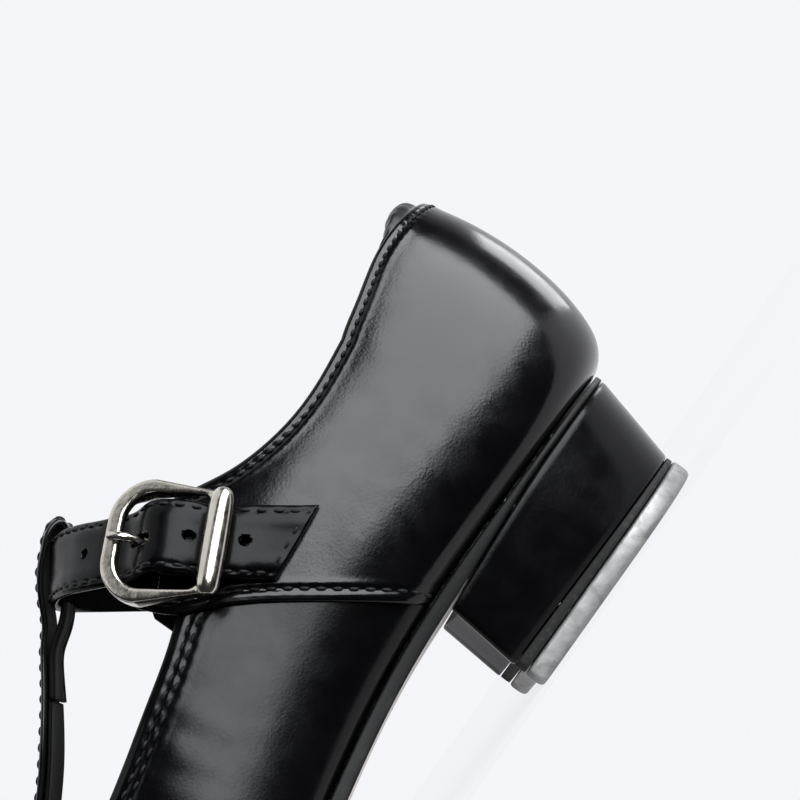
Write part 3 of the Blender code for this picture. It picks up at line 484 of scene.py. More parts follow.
def moulded_plastic():
    made = Surface("heel_plastic", (0.68, 0.65, 0.58), 0.45)
    made.spots(8.0, 3.0, 0.4, 0.7, (0.60, 0.57, 0.50))
    made.bump(made.noise(0.6, 2.0), 0.03, 0.5)
    return made.material


LEATHER_BACK = leather_back()
THREAD = thread()
LINING = lining_cloth()
SOCK = sock_cloth()
SOLE_EDGE = sole_edge()
SOLE = sole_leather()
RUBBER = rubber()
TAP_METAL = tap_metal()
NICKEL = nickel()
STEEL = brushed("screw_steel", (0.56, 0.56, 0.55), 0.30)
BOARD = pressed_fibre("insole_fibre", (0.50, 0.38, 0.24), (0.40, 0.29, 0.18))
STIFF = pressed_fibre("stiffener_fibre", (0.72, 0.69, 0.62), (0.62, 0.58, 0.50))
PLASTIC = moulded_plastic()


# Meshes.
def made_piece(name, points, faces, materials, body="shoe", nodes=(), pick=None, slot=None):
    """An object from points in millimetres. pick gives each face's material from its centre and normal."""
    mesh = bpy.data.meshes.new(name)
    mesh.from_pydata([tuple(p) for p in np.asarray(points) * MM + SHIFT], [], [tuple(f) for f in faces])
    work = bmesh.new()
    work.from_mesh(mesh)
    bmesh.ops.remove_doubles(work, verts=work.verts, dist=0.002 * MM)
    bmesh.ops.recalc_face_normals(work, faces=work.faces)
    work.to_mesh(mesh)
    work.free()
    for made in materials:
        mesh.materials.append(made)
    for face in mesh.polygons:
        face.use_smooth = True
        if pick:
            face.material_index = pick(face)
    made = bpy.data.objects.new(name, mesh)
    bpy.context.scene.collection.objects.link(made)
    if body:
        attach(made, body)
    if nodes:
        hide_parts(*nodes)
    return made


def applied(made):
    """Leaves the object's mesh with its modifiers applied."""
    bpy.context.view_layer.update()
    seen = made.evaluated_get(bpy.context.evaluated_depsgraph_get())
    mesh = bpy.data.meshes.new_from_object(seen)
    made.modifiers.clear()
    made.data = mesh


def combined(made, rings, operation="DIFFERENCE"):
    """Cuts a form over these rings out of the object, or joins it on."""
    form = ring_piece("form", rings, [made.data.materials[0]], body=None)
    step = made.modifiers.new("form", "BOOLEAN")
    step.operation = operation
    step.solver = "EXACT"
    step.object = form
    applied(made)
    bpy.data.objects.remove(form)


def grid_faces(rows, cols, closed_rows=False, closed_cols=False):
    faces = []
    for i in range(rows if closed_rows else rows - 1):
        for j in range(cols if closed_cols else cols - 1):
            k = (i + 1) % rows
            n = (j + 1) % cols
            faces.append((i * cols + j, k * cols + j, k * cols + n, i * cols + n))
    return faces


def ring_skin(rings, closed=False):
    """Points and faces of a skin over rings of points, capped at both ends or joined round."""
    rings = np.asarray(rings, float)
    count, around = rings.shape[:2]
    faces = grid_faces(count, around, closed, True)
    points = rings.reshape(-1, 3)
    if not closed:
        for ring, base in ((rings[0], 0), (rings[-1], (count - 1) * around)):
            points = np.vstack([points, ring.mean(axis=0)])
            middle = len(points) - 1
            faces += [(base + j, base + (j + 1) % around, middle) for j in range(around)]
    return points, faces


def ring_piece(name, rings, materials, closed=False, **settings):
    points, faces = ring_skin(rings, closed)
    return made_piece(name, points, faces, materials, **settings)


def nearest(points, line):
    """For each point, the index of the nearest point of the line and its distance."""
    tree = KDTree(len(line))
    for i, p in enumerate(line):
        tree.insert(p, i)
    tree.balance()
    found = [tree.find(p) for p in points]
    return np.array([f[1] for f in found]), np.array([f[2] for f in found])


def along_line(line):
    return np.concatenate([[0], np.cumsum(np.linalg.norm(np.diff(line, axis=0), axis=1))])


def at_run(wanted, runs, values):
    """Rows of values, read at distances along a line."""
    return np.stack([np.interp(wanted, runs, values[:, k]) for k in range(values.shape[1])], axis=-1)


def seam_line(edge, out, inset, trim, spacing=0.25):
    """A line inside a panel's edge, to the left of the way the edge runs seen from outside."""
    runs = along_line(edge)
    wanted = np.arange(trim[0], runs[-1] - trim[1], spacing)
    line = at_run(wanted, runs, edge)
    up = unit(at_run(wanted, runs, out))
    ahead = unit(np.gradient(line, axis=0))
    return line + np.cross(up, ahead) * inset, up


def draped(line, points, out):
    """The line laid on a surface of points with these normals."""
    index, _ = nearest(line, points)
    height = np.sum((line - points[index]) * out[index], axis=1, keepdims=True)
    return line - out[index] * height, out[index]


PRESS = 0.36  # how deep a stitch row is drawn into the leather
PRESS_WIDE = 0.55
PUFF = 0.10  # how high the leather stands up beside a row
PUFF_AT = 1.15
PUFF_WIDE = 0.6


def bell(distance, wide):
    return np.exp(-((distance / wide) ** 2))


def hole_share(run, pitch):
    """1 where the needle went in and 0 between, along a stitch row."""
    return 0.5 + 0.5 * np.cos(2 * math.pi * run / pitch)


def relief(points, seams):
    """How far the leather is drawn in along its stitch rows, and puffed beside them."""
    drop = np.zeros(len(points))
    for line, _, pitch in seams:
        index, distance = nearest(points, line)
        hole = hole_share(along_line(line)[index], pitch)
        drop -= PRESS * bell(distance, PRESS_WIDE) * (0.35 + 0.65 * hole**2)
        drop += PUFF * bell(distance - PUFF_AT, PUFF_WIDE) * (0.6 + 0.4 * (1 - hole))
    return drop


THREAD_RADIUS = 0.30


def stitch_shape():
    """One thread stitch along X: a bowed bead whose two ends dive into the leather."""
    stations = np.linspace(-1, 1, 9)
    turns = np.linspace(0, 2 * math.pi, 8, endpoint=False)
    rings = []
    for t in stations:
        thick = THREAD_RADIUS * (1 - abs(t) ** 3.2) ** 0.5 + 0.02
        bow = 0.16 - 0.42 * t * t
        rings.append([(t, thick * math.cos(a) * 1.15, bow + thick * math.sin(a)) for a in turns])
    return ring_skin(rings)


STITCH_SINK = 0.08  # how far the thread is pulled into the leather


def stitch_mesh(seams, share=0.74):
    """Thread stitches along seam lines, each a bead of its own that fills a share of the pitch."""
    shape, shape_faces = stitch_shape()
    points = []
    faces = []
    for line, out, pitch in seams:
        runs = along_line(line)
        for k in range(int(runs[-1] / pitch)):
            at = (k + 0.5) * pitch
            place, before, after = (at_run(t, runs, line) for t in (at, at - 0.3 * pitch, at + 0.3 * pitch))
            up = unit(at_run(at, runs, out))
            ahead = unit(after - before)
            base = len(points) * len(shape)
            points.append(place + shape[:, :1] * (pitch * share / 2) * ahead
                          + shape[:, 1:2] * np.cross(up, ahead) + (shape[:, 2:] - STITCH_SINK) * up)
            faces += [tuple(i + base for i in face) for face in shape_faces]
    return np.vstack(points), faces


def stitches(name, seams):
    points, faces = stitch_mesh(seams)
    return made_piece(name, points, faces, [THREAD], slot="black_leather")


def shell(points, out, faces, thick):
    """A leather panel from its outer layer: an inner layer below it, and half-round edges all round."""
    points = np.asarray(points, float)
    keys = np.round(points / 0.004).astype(int)
    _, first, index = np.unique(keys, axis=0, return_index=True, return_inverse=True)
    index = index.reshape(-1)
    points = points[first]
    out = out[first]
    clean = []
    for face in faces:
        mapped = [int(index[i]) for i in face]
        kept = [v for k, v in enumerate(mapped) if v != mapped[k - 1]]
        if len(kept) > 2:
            clean.append(kept)
    a, b, c = (points[[f[k] for f in clean]] for k in range(3))
    facing = np.sum(np.cross(b - a, c - a) * out[[f[0] for f in clean]])
    if facing < 0:
        clean = [f[::-1] for f in clean]
    edges = {(f[k - 1], f[k]) for f in clean for k in range(len(f))}
    rim = [(u, v) for u, v in edges if (v, u) not in edges]
    after = dict(rim)
    before = {v: u for u, v in rim}
    ids = sorted(after)
    order = {v: k for k, v in enumerate(ids)}
    half = thick / 2
    ahead = unit(points[[after[v] for v in ids]] - points[[before[v] for v in ids]])
    away = unit(np.cross(ahead, out[ids]))
    count = len(points)
    layers = [points, points - out * thick]
    middle = points[ids] - out[ids] * half
    angles = [math.radians(t) for t in (30, 60, 90, 120, 150)]
    for t in angles:
        layers.append(middle + out[ids] * half * math.cos(t) + away * half * math.sin(t))
    made = clean + [[v + count for v in f[::-1]] for f in clean]
    chains = [ids] + [[2 * count + k * len(ids) + n for n in range(len(ids))] for k in range(len(angles))]
    chains.append([v + count for v in ids])
    for u, v in rim:
        i, j = order[u], order[v]
        for low, high in zip(chains, chains[1:]):
            made.append((low[j], low[i], high[i], high[j]))
    return np.vstack(layers), made


def lateral_to_medial(half):
    """Stations from the lateral side round the heel's back to the medial side."""
    side = np.concatenate([-np.ones(len(half)), np.ones(len(half) - 1)])
    return side, np.concatenate([half[::-1], half[1:]])


def around_toe(half):
    """Stations from the lateral side round the toe to the medial side."""
    side = np.concatenate([-np.ones(len(half)), np.ones(len(half) - 1)])
    return side, np.concatenate([half, half[-2::-1]])


def panel(name, side, s, q, outer, thick, material, node, seam_maker=None, shape=None, slot="black_leather"):
    """A panel over the last on a grid of q values, with its stitch rows drawn in. Returns its seams.

    outer gives how far its outer face stands off the last, and shape any further relief.
    """
    skin = last(side[:, None], s[:, None], q)
    out = normal(side[:, None], s[:, None], q)
    skin = skin + out * outer(side[:, None], s[:, None], q)[..., None]
    cols, rows = q.shape
    flat = skin.reshape(-1, 3)
    flat_out = out.reshape(-1, 3)
    seams = []
    if seam_maker:
        for line, _, pitch in seam_maker(skin, out):
            laid, up = draped(line, flat, flat_out)
            seams.append((laid, up, pitch))
        flat = flat + flat_out * relief(flat, seams)[:, None]
    if shape is not None:
        flat = flat + flat_out * shape(flat)[:, None]
    points, faces = shell(flat, flat_out, grid_faces(cols, rows), thick)
    made_piece(name, points, faces, [material], nodes=[node], slot=slot)
    return seams


# Quarter: one panel round the heel, stitched along its top edge and down its front seam.
TOP_PITCH = 2.45
TOP_INSET = 1.5
SEAM_PITCH = 3.2
SEAM_INSET = 1.9


def quarter_outer(side, s, q):
    return OUTER + SKIN + OVER_STIFFENER * ease(q, 0.0, STEP_END)


def quarter_grid():
    side, s = lateral_to_medial(chained((-1, 0, 92), (0, SEAM_S, 42), (SEAM_S, TAB_S, 56)))
    y = station_y(s)
    turned_in = -0.7 * ease(SEAM_S - s, 0.0, 0.03)
    low = np.where(s > SEAM_S - 1e-6, np.maximum(q_at(side, s, quarter_seam(y)), 0.0), turned_in)
    high = q_at(side, s, collar_line(s))
    return side, s, spread(side, s, low, high, dense_ends(64))


def quarter_seams(skin, out):
    found = [(*seam_line(skin[::-1, -1], out[::-1, -1], TOP_INSET, (3, 3)), TOP_PITCH)]
    for hand in (-1, 1):
        front = np.where((quarter_s > SEAM_S - 1e-6) & (quarter_side == hand))[0]
        found.append((*seam_line(skin[front, 0], out[front, 0], SEAM_INSET, (1.5, 1.5)), SEAM_PITCH))
    return found


quarter_side, quarter_s, quarter_q = quarter_grid()
seams = panel("quarter_look", quarter_side, quarter_s, quarter_q, quarter_outer, SKIN, LEATHER,
              "quarter", quarter_seams)
stitches("quarter_stitches", seams)


# Vamp: from under the quarter's seam round the toe, with two stitch rows along its top edge.
VAMP_PITCH = 3.3
VAMP_INSETS = (2.4, 3.95)


def vamp_outer(side, s, q):
    y = last(side, s, q)[..., 1]
    return OUTER + SKIN + OVER_TOE_PUFF * ease(q, 0.0, STEP_END) * ease(y, 158, 174)


def vamp_top(side, s):
    held = np.minimum(s, THROAT_S)
    edge = q_at(side, held, vamp_line(station_y(held)))
    rise = edge + (2.0 - edge) * np.clip((s - THROAT_S) / (THROAT_END_S - THROAT_S), 0, 1)
    return np.where(s >= THROAT_END_S - 1e-9, 2.0, rise)


vamp_side, vamp_s = around_toe(chained((0.15, 0.60, 92), (0.60, THROAT_S, 22), (THROAT_S, THROAT_END_S, 8),
                                       (THROAT_END_S, 1.0, 24), (1.0, 2.0, 46)))
low = np.where(vamp_s > SEAM_S + 0.006, -0.9, STEP_END)
low = np.where((vamp_s > SEAM_S + 0.001) & (vamp_s <= SEAM_S + 0.006), 0.1, low)
vamp_q = spread(vamp_side, vamp_s, low, vamp_top(vamp_side, vamp_s), dense_ends(60))


def vamp_seams(skin, out):
    found = []
    for hand in (-1, 1):
        open_edge = np.where((vamp_side == hand) & (vamp_s > 0.33) & (vamp_s <= THROAT_S + 1e-6))[0]
        if hand > 0:
            open_edge = open_edge[::-1]
        for inset in VAMP_INSETS:
            row = seam_line(skin[open_edge, -1], out[open_edge, -1], inset, (2, 2))
            found.append((*row, VAMP_PITCH))
    return found


def vamp_creases(points):
    """Soft folds across the waist of the vamp, where the foot bends."""
    x, y, z = points.T
    wave = np.zeros(len(points))
    for at, slant, deep, wide in ((100.0, 0.35, 0.10, 3.4), (107.0, 0.42, 0.05, 3.0), (92.5, 0.3, 0.06, 3.4)):
        across = y - at - slant * (z - 45) + 0.8 * np.sin(z * 0.25)
        fade = ease(z, 34, 42) * (1 - ease(z, 52, 60))
        wave += deep * fade * (0.6 * bell(across - 3.2, wide) - bell(across, wide))
    return wave


seams = panel("vamp_look", vamp_side, vamp_s, vamp_q, vamp_outer, SKIN, VAMP_LEATHER, "vamp",
              vamp_seams, vamp_creases)
stitches("vamp_stitches", seams)


# Linings, inside the quarter and inside the vamp.
LININGS_MEET = 0.25


def lining(node, side, s, high):
    q = spread(side, s, np.full(len(s), -0.3), high, dense_ends(26))
    panel(node + "_look", side, s, q, lambda side, s, q: LINING_THICK + 0 * q * s, LINING_THICK,
          LINING, node, slot="black_lining")


side, s = lateral_to_medial(chained((-1, 0, 46), (0, LININGS_MEET - 0.002, 22)))
lining("quarter_lining", side, s, q_at(side, s, collar_line(s) - 0.5))
side, s = around_toe(chained((LININGS_MEET + 0.002, THROAT_S, 40), (THROAT_S, THROAT_END_S, 6),
                             (THROAT_END_S, 1.0, 16), (1.0, 2.0, 30)))
lining("vamp_lining", side, s, np.maximum(vamp_top(side, s) - 0.01 * (s < THROAT_S), 0.4))


# Padded collar at the back of the ankle.
PAD_END_S = -0.3


def pad_ring(side, s, gather):
    """One section of the collar: inner face, roll above the quarter's edge, and a lip behind it."""
    top = float(collar_line(s))
    swell = float(1 - 0.82 * ease(s, -0.85, PAD_END_S))
    cage = np.array([(-0.5, -17), (-3.2 * swell - 0.6, -12), (-5.0 * swell, -5), (-5.2 * swell, 1.5),
                     (-3.6 * swell, 4.8 * swell), (-1.2, 6.2 * swell), (1.4, 5.2 * swell),
                     (2.6 * swell, 2.6 * swell + 0.4), (1.6 * swell, 0.7), (-0.4, 0.6), (-0.4, -8)])
    count = len(cage)
    loops = np.arange(-3, count + 4)
    smooth = [spline(*zip(loops, cage[loops % count, k])) for k in range(2)]
    t = np.linspace(0, count, 44, endpoint=False)
    shape = np.stack([curve(t) for curve in smooth], axis=1)
    middle = shape.mean(axis=0)
    shape = middle + (shape - middle) * (1 + gather * ease(shape[:, 1], -6, 2))[:, None]
    at = q_at(side, np.full(len(t), s), top + shape[:, 1])
    return off(side, np.full(len(t), s), at, shape[:, 0])


def collar():
    side, s = lateral_to_medial(np.linspace(-1.0, PAD_END_S, 60))
    rings = []
    for k, (hand, at) in enumerate(zip(side, s)):
        gather = 0.03 * math.sin(k * 0.5) * math.sin(k * 0.23 + 1) - 0.02
        rings.append(pad_ring(hand, at, gather))
    made = ring_piece("collar_look", rings, [leather("collar_leather", 0.38, 0.02)],
                      nodes=["collar_pad"], slot="black_lining")


collar()


# T-bar: from the throat up the instep, over the ankle strap and folded back beneath it.
TBAR_THICK = 1.3
TBAR_ROW = 1.7  # from the T-bar's edge to its stitch row
FOLD_RAW = 17.0  # the length of the folded end whose back and face are both dull
tbar_half = spline((80, 6.0), (90, 5.9), (99, 5.7), (106, 5.7), (114, 7.4), (121, 8.4), (131, 8.6),
                   (145, 11.2), (160, 13.5))
TBAR_MIDDLE = ((159.5, 3.2), (154, 3.15), (147, 3.15), (138, 3.15), (132, 3.1), (126, 3.1), (120, 3.3),
               (114, 3.5), (108, 3.85), (103.4, 4.05), (101, 3.85), (99.4, 3.95), (97.2, 4.45), (94.2, 4.95),
               (90.5, 4.95), (88.2, 4.5), (85.7, 4.05), (83.9, 3.0), (83.15, 1.8), (83.5, 0.8), (85.0, 0.15),
               (88, 0.0), (93, 0.0), (98, 0.05), (100.6, 0.7), (104, 2.1), (108, 2.25), (112.5, 1.95))


def smooth_path(points, spacing):
    """A smooth path through points in the plane, at an even spacing."""
    points = np.array(points, float)
    runs = along_line(points)
    curves = [spline(*zip(runs, points[:, k])) for k in range(points.shape[1])]
    t = np.linspace(0, runs[-1], max(int(runs[-1] / spacing), 4))
    return np.stack([curve(t) for curve in curves], axis=1)


def rounded_band(half, thick, count):
    """A strap's section as (across, height) pairs, round at both edges, from its middle line."""
    edge = thick / 2
    flat = np.linspace(-1, 1, count) * (half - edge)
    turns = np.radians([60, 30, 0, -30, -60])
    right = [(half - edge + edge * math.cos(a), edge * math.sin(a)) for a in turns]
    left = [(edge - half - edge * math.cos(a), edge * math.sin(a)) for a in turns[::-1]]
    return [(x, edge) for x in flat] + right + [(x, -edge) for x in flat[::-1]] + left


def bend(points, spacing):
    """A smooth path in the plane, with the direction square to it at each point."""
    path = smooth_path(points, spacing)
    ahead = unit(np.gradient(path, axis=0))
    return path, np.stack([ahead[:, 1], -ahead[:, 0]], axis=1)


def t_bar():
    path, square = bend(TBAR_MIDDLE, 0.7)
    rings = []
    runs = along_line(path)
    for (y, d), way, run in zip(path, square, runs):
        half = float(tbar_half(y))
        x, h = np.array(rounded_band(half, TBAR_THICK, 45)).T
        inset = half - abs(x)
        dip = 0.28 * bell(inset - TBAR_ROW, 0.5) * (0.35 + 0.65 * hole_share(run, VAMP_PITCH) ** 2)
        dip -= 0.08 * bell(inset - 3.0, 0.6)
        h = np.where(h > 0, h - dip, h)
        rings.append(over(x, y + way[0] * h, d + way[1] * h))
    around = len(rings[0])
    folded = int(np.sum(runs < runs[-1] - FOLD_RAW))

    def pick(face):
        ring, place = divmod(face.index, around)
        return int(ring > folded or 0.49 * around < place < 0.97 * around)

    ring_piece("t_bar_look", rings, [LEATHER, LEATHER_BACK], nodes=["t_bar"], pick=pick, slot="black_leather")
    seams = []
    keep = runs < runs[-1] - FOLD_RAW - 3
    top = path + square * TBAR_THICK / 2
    for hand in (-1, 1):
        x = hand * (tbar_half(path[:, 0]) - TBAR_ROW)
        line = over(x, *top.T)[keep]
        above = over(x, *(top + square).T)[keep]
        seams.append((line, unit(above - line), VAMP_PITCH))
    stitches("t_bar_stitches", seams)


t_bar()
bar_lining = spline((113.5, 2.25), (118, 2.05), (124, 1.7), (132, 1.55), (142.5, 1.5))


def t_bar_lining():
    rings = []
    for y in np.linspace(112.9, 142.5, 40):
        x, h = np.array(rounded_band(float(tbar_half(y)) - 0.6, LINING_THICK, 21)).T
        rings.append(over(x, y, bar_lining(y) + h))
    ring_piece("t_bar_lining_look", rings, [LEATHER_BACK], nodes=["t_bar_lining"], slot="black_lining")


t_bar_lining()


# Ankle strap, in one leaning plane; stations are counted from the buckle's bar.
def strap_spots(side, high):
    """Points of the last on the strap's plane, from the sides' widest line at 0 up to the ridge."""
    z = np.full(high.shape, BUCKLE_Z)
    for _ in range(40):
        y = BUCKLE_Y + STRAP_LEAN * (z - BUCKLE_Z)
        base = sole_top(y) + INSOLE_RISE + wide_rise(y)
        z = base + (ridge(y) - base) * np.sin(high)
    wide = wide_lateral(y) if side < 0 else wide_medial(y)
    return np.stack([side * wide * np.maximum(np.cos(high), 0) ** np.maximum(lean(y), 1), y, z], axis=1)


HALF_COUNT = 90
sweep = np.linspace(0.02, math.pi / 2, HALF_COUNT)
strap_path = np.vstack([strap_spots(-1, sweep), strap_spots(1, sweep[::-1][1:])])
strap_runs = along_line(strap_path)
strap_runs -= strap_runs[np.argmin(np.abs(strap_path[:HALF_COUNT, 2] - BUCKLE_Z))]
strap_hand = np.where(np.arange(len(strap_path)) < HALF_COUNT, -1.0, 1.0)
strap_s = station_s(strap_path[:, 1])
strap_out = normal(strap_hand, strap_s, q_at(strap_hand, strap_s, strap_path[:, 2]))
strap_out[HALF_COUNT - 1] = unit(strap_out[HALF_COUNT - 2] + strap_out[HALF_COUNT])


def strap_frame(u):
    """The last's surface at station u, with the directions along the strap, across it and outward."""
    held = max(u, float(strap_runs[0]) + 2)
    point, ahead, behind = (at_run(held + d, strap_runs, strap_path) for d in (0, 2, -2))
    along = unit(ahead - behind)
    out = at_run(held, strap_runs, strap_out)
    out = unit(out - along * out.dot(along))
    return point + along * (u - held), along, unit(np.cross(along, out)), out


HINGE_U = float(np.interp(HINGE_X, strap_path[:HALF_COUNT, 0], strap_runs[:HALF_COUNT]))
MEDIAL_END = float(strap_runs[-1]) - 22.0  # the inner end stops this far above the upper's widest line
TIP_U = -24.0
SLANT = -4.2  # the tip is cut on a slant: its upper corner reaches further
HOLE_RADIUS = 1.15
strap_lift = spline((-34, 4.2), (-26, 4.3), (-18, 5.0), (-14, 5.7), (-11, 5.9), (-9.3, 6.0),
                    (-6.8, 7.3), (-3.5, 9.1), (0, 9.8), (2.5, 9.0), (5.5, 6.4), (8, 4.7), (12, 4.2),
                    (16, 3.4), (22, 2.3), (27, 1.5), (32, 1.2), (60, 1.2))
root_lift = spline((HINGE_U, 1.2), (52.5, 1.2), (58.5, 1.15), (64.5, 1.05), (70.5, 1.0), (MEDIAL_END, 1.0))
strap_sway = spline((-30, -0.5), (-14, -0.65), (-9, -0.7), (-4, -0.5), (1, -0.55), (6, -0.9), (12, -1.4),
                    (20, -1.1), (31, -0.8), (38, -1.3), (48, -1.3), (70, -0.6))
strap_centre, strap_u, strap_v, N = strap_frame(0.0)
turned = math.radians(BUCKLE_TURN)
U = strap_u * math.cos(turned) + strap_v * math.sin(turned)
V = strap_v * math.cos(turned) - strap_u * math.sin(turned)
buckle_centre = strap_centre + V * BUCKLE_V


def placed(u, v, d):
    """Points in the buckle's axes: along the strap, across it, and out from the foot."""
    u, v, d = np.broadcast_arrays(*(np.asarray(value, float) for value in (u, v, d)))
    return buckle_centre + u[..., None] * U + v[..., None] * V + d[..., None] * N


STRAP_ROW = 1.35  # from the strap's edge to its stitch row
STRAP_HALF = STRAP_WIDE / 2


def strap_thick(u):
    return STRAP_THICK - 0.8 * float(ease(u, 50, 60))


def strap_spot(u, x, rise):
    """A point of the strap, x from its middle and rise above its inner face, and the outward direction."""
    lift = float(strap_lift(u) if u < HINGE_U else root_lift(u))
    slant = SLANT * (x / STRAP_HALF) * float(ease(-u, 12, 24))
    place, _, side, out = strap_frame(u + slant)
    return place + side * (x + float(strap_sway(u))) + out * (lift + rise), out


def strap_section(u):
    """One section of the strap: a rounded band, pressed in along its two stitch rows."""
    thick = strap_thick(u)
    hole = hole_share(u, SEAM_PITCH)
    ring = []
    for x, h in rounded_band(STRAP_HALF, thick, 41):
        share = x / STRAP_HALF
        inset = STRAP_HALF - abs(x)
        dip = 0.34 * bell(inset - STRAP_ROW, 0.5) * (0.3 + 0.7 * hole**2)
        dip += 0.10 * bell(inset, 0.6) - 0.16 * bell(inset - 3.2, 1.6)
        h = h - dip if h > 0 else h
        ring.append(strap_spot(u, x, thick / 2 + h - 0.35 * share * share)[0])
    return np.array(ring)


def strap_seams():
    """Rows along both edges and one across the tip."""
    row_x = STRAP_HALF - STRAP_ROW
    along = np.arange(TIP_U + 2.0, MEDIAL_END - 20, 0.4)
    rows = [[(u, hand * row_x, -0.28) for u in along] for hand in (-1, 1)]
    rows.append([(TIP_U + 1.6, x, -0.1) for x in np.linspace(-1, 1, 41) * (row_x - 1.2)])
    seams = []
    for row in rows:
        spots = [strap_spot(u, x, strap_thick(u) + rise) for u, x, rise in row]
        line, up = (np.array(part) for part in zip(*spots))
        seams.append((line, up, SEAM_PITCH))
    return seams


def strap():
    stations = chained((TIP_U, HINGE_U, 110), (HINGE_U, MEDIAL_END, 80))
    band = ring_piece("strap_look", [strap_section(u) for u in stations], [STRAP_LEATHER], body=None)
    turns = np.linspace(0, 2 * math.pi, 28, endpoint=False)
    for u in HOLE_STATIONS:
        place, along, side, out = strap_frame(u)
        circle = place + side * float(strap_sway(u))
        circle = circle + HOLE_RADIUS * (np.cos(turns)[:, None] * along + np.sin(turns)[:, None] * side)
        combined(band, [circle + out * (float(strap_lift(u)) + h) for h in (-3, 5)])
    outline = rounded_outline(1.6, 7.2, 1.25, 1.2, 1.2, 6)
    combined(band, [placed(outline[:, 0], outline[:, 1], d) for d in (2.0, 14.0)])
    thread = made_piece("strap_stitches", *stitch_mesh(strap_seams(), 0.72), [THREAD], None)
    hinge, along, _, _ = strap_frame(HINGE_U)
    for made in (band, thread):
        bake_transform(made)
    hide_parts("strap_end", "strap_root")


def rounded_outline(low_u, high_u, half_v, corner_high, corner_low, count):
    """A rounded rectangle in (u, v), with one corner radius at each end."""
    out = []
    for corner, u, v, start in ((corner_high, high_u - corner_high, half_v - corner_high, 0),
                                (corner_low, low_u + corner_low, half_v - corner_low, 90),
                                (corner_low, low_u + corner_low, corner_low - half_v, 180),
                                (corner_high, high_u - corner_high, corner_high - half_v, 270)):
        for t in np.radians(np.linspace(start, start + 90, count)):
            out.append((u + corner * math.cos(t), v + corner * math.sin(t)))
    return np.array(out)


strap()


CHAPE_THICK = 1.0
CHAPE_HALF = 5.5
CHAPE_SLOT = 1.35
BAR_PLAY = 0.35


def chape():
    """A strip folded round the bar, with a slot for the prong's eye."""
    fold = BAR_RADIUS + BAR_PLAY + CHAPE_THICK / 2
    turns = np.radians([125, 90, 55, 20, -15, -50, -80])
    line = [(-7.0, -0.95), (-4.6, -0.2), (-2.6, 0.9)]
    line += [(fold * math.cos(a), fold * math.sin(a)) for a in turns]
    line += [(-2.0, -1.85), (-5.0, -2.0), (-8.5, -2.2), (-11.8, -2.8)]
    path, square = bend(line, 0.4)
    section = rounded_band(CHAPE_HALF, CHAPE_THICK, 15)
    rings = [[placed(u + way[0] * h, v, BAR_D + d + way[1] * h) for v, h in section]
             for (u, d), way in zip(path, square)]
    made = ring_piece("chape_look", rings, [STRAP_LEATHER], nodes=["buckle_chape"], slot="black_leather")
    corners = ((-3.4, -3.6), (3.6, -3.6), (3.6, 3.4), (-3.4, 3.4))
    combined(made, [[placed(u, v, BAR_D + d) for u, d in corners] for v in (-CHAPE_SLOT, CHAPE_SLOT)])


chape()


# Buckle: a cast frame, strongly rounded towards the T-bar, with a fat keeper towards the strap's tip.
FRAME_LOW = 7.6
FRAME_HIGH = 9.9
ARM_DEPTH = 2.0  # the side arms reach further down, to hold the bar
KEEPER_U = -11.7
KEEPER_D = 10.3
KEEPER_HALF_U = 2.45
KEEPER_HALF_V = 11.1
KEEPER_HALF_D = 2.2


def frame_ring(edge, other, share, high):
    """The frame's outline moved part of the way to the other one, and set high in its section."""
    spot = edge + (other - edge) * 0.5 * share
    arm = ease(np.abs(spot[:, 1]), 7.8, 9.2) * ease(spot[:, 0], -7, -2)
    low = FRAME_LOW + 0.6 * ease(-spot[:, 0], 2, 7) - ARM_DEPTH * arm
    return placed(spot[:, 0], spot[:, 1], low + (FRAME_HIGH - low) * high)


def buckle_frame():
    outer = rounded_outline(-13.2, 11.9, 12.7, 8.8, 4.0, 14)
    outer[:, 1] *= 1 - 0.18 * ease(-outer[:, 0], -1.5, 10)
    inner = rounded_outline(-9.2, 8.6, 9.6, 5.8, 2.2, 14)
    profile = [(1.0, -0.02), (0.35, 0.0), (0.08, 0.12), (0.0, 0.4), (0.02, 0.75), (0.12, 0.93), (0.3, 1.0)]
    rings = [frame_ring(outer, inner, share, high) for share, high in profile]
    rings += [frame_ring(inner, outer, share, high) for share, high in profile[::-1]]
    made = ring_piece("buckle_look", rings, [NICKEL], True, body="buckle", nodes=["buckle_frame"],
                      slot="buckle_nickel")
    rings = []
    turns = np.linspace(0, 2 * math.pi, 28, endpoint=False)
    for t in np.linspace(-1, 1, 41):
        fat = (1 - abs(t) ** 9) ** 0.5 * (1 - 0.10 * t * t) + 0.02
        d = KEEPER_D - 1.6 * max(abs(t) - 0.72, 0) ** 1.5
        rings.append(placed(KEEPER_U + KEEPER_HALF_U * fat * np.cos(turns), KEEPER_HALF_V * t,
                            d + KEEPER_HALF_D * fat * np.sin(turns)))
    combined(made, rings, "UNION")
    hold = made.modifiers.new("blend", "REMESH")
    hold.mode = "VOXEL"
    hold.voxel_size = 0.26 * MM
    hold.use_smooth_shade = True
    soften = made.modifiers.new("soften", "CORRECTIVE_SMOOTH")
    soften.iterations = 3
    soften.use_only_smooth = True
    applied(made)
    for face in made.data.polygons:
        face.use_smooth = True


buckle_frame()


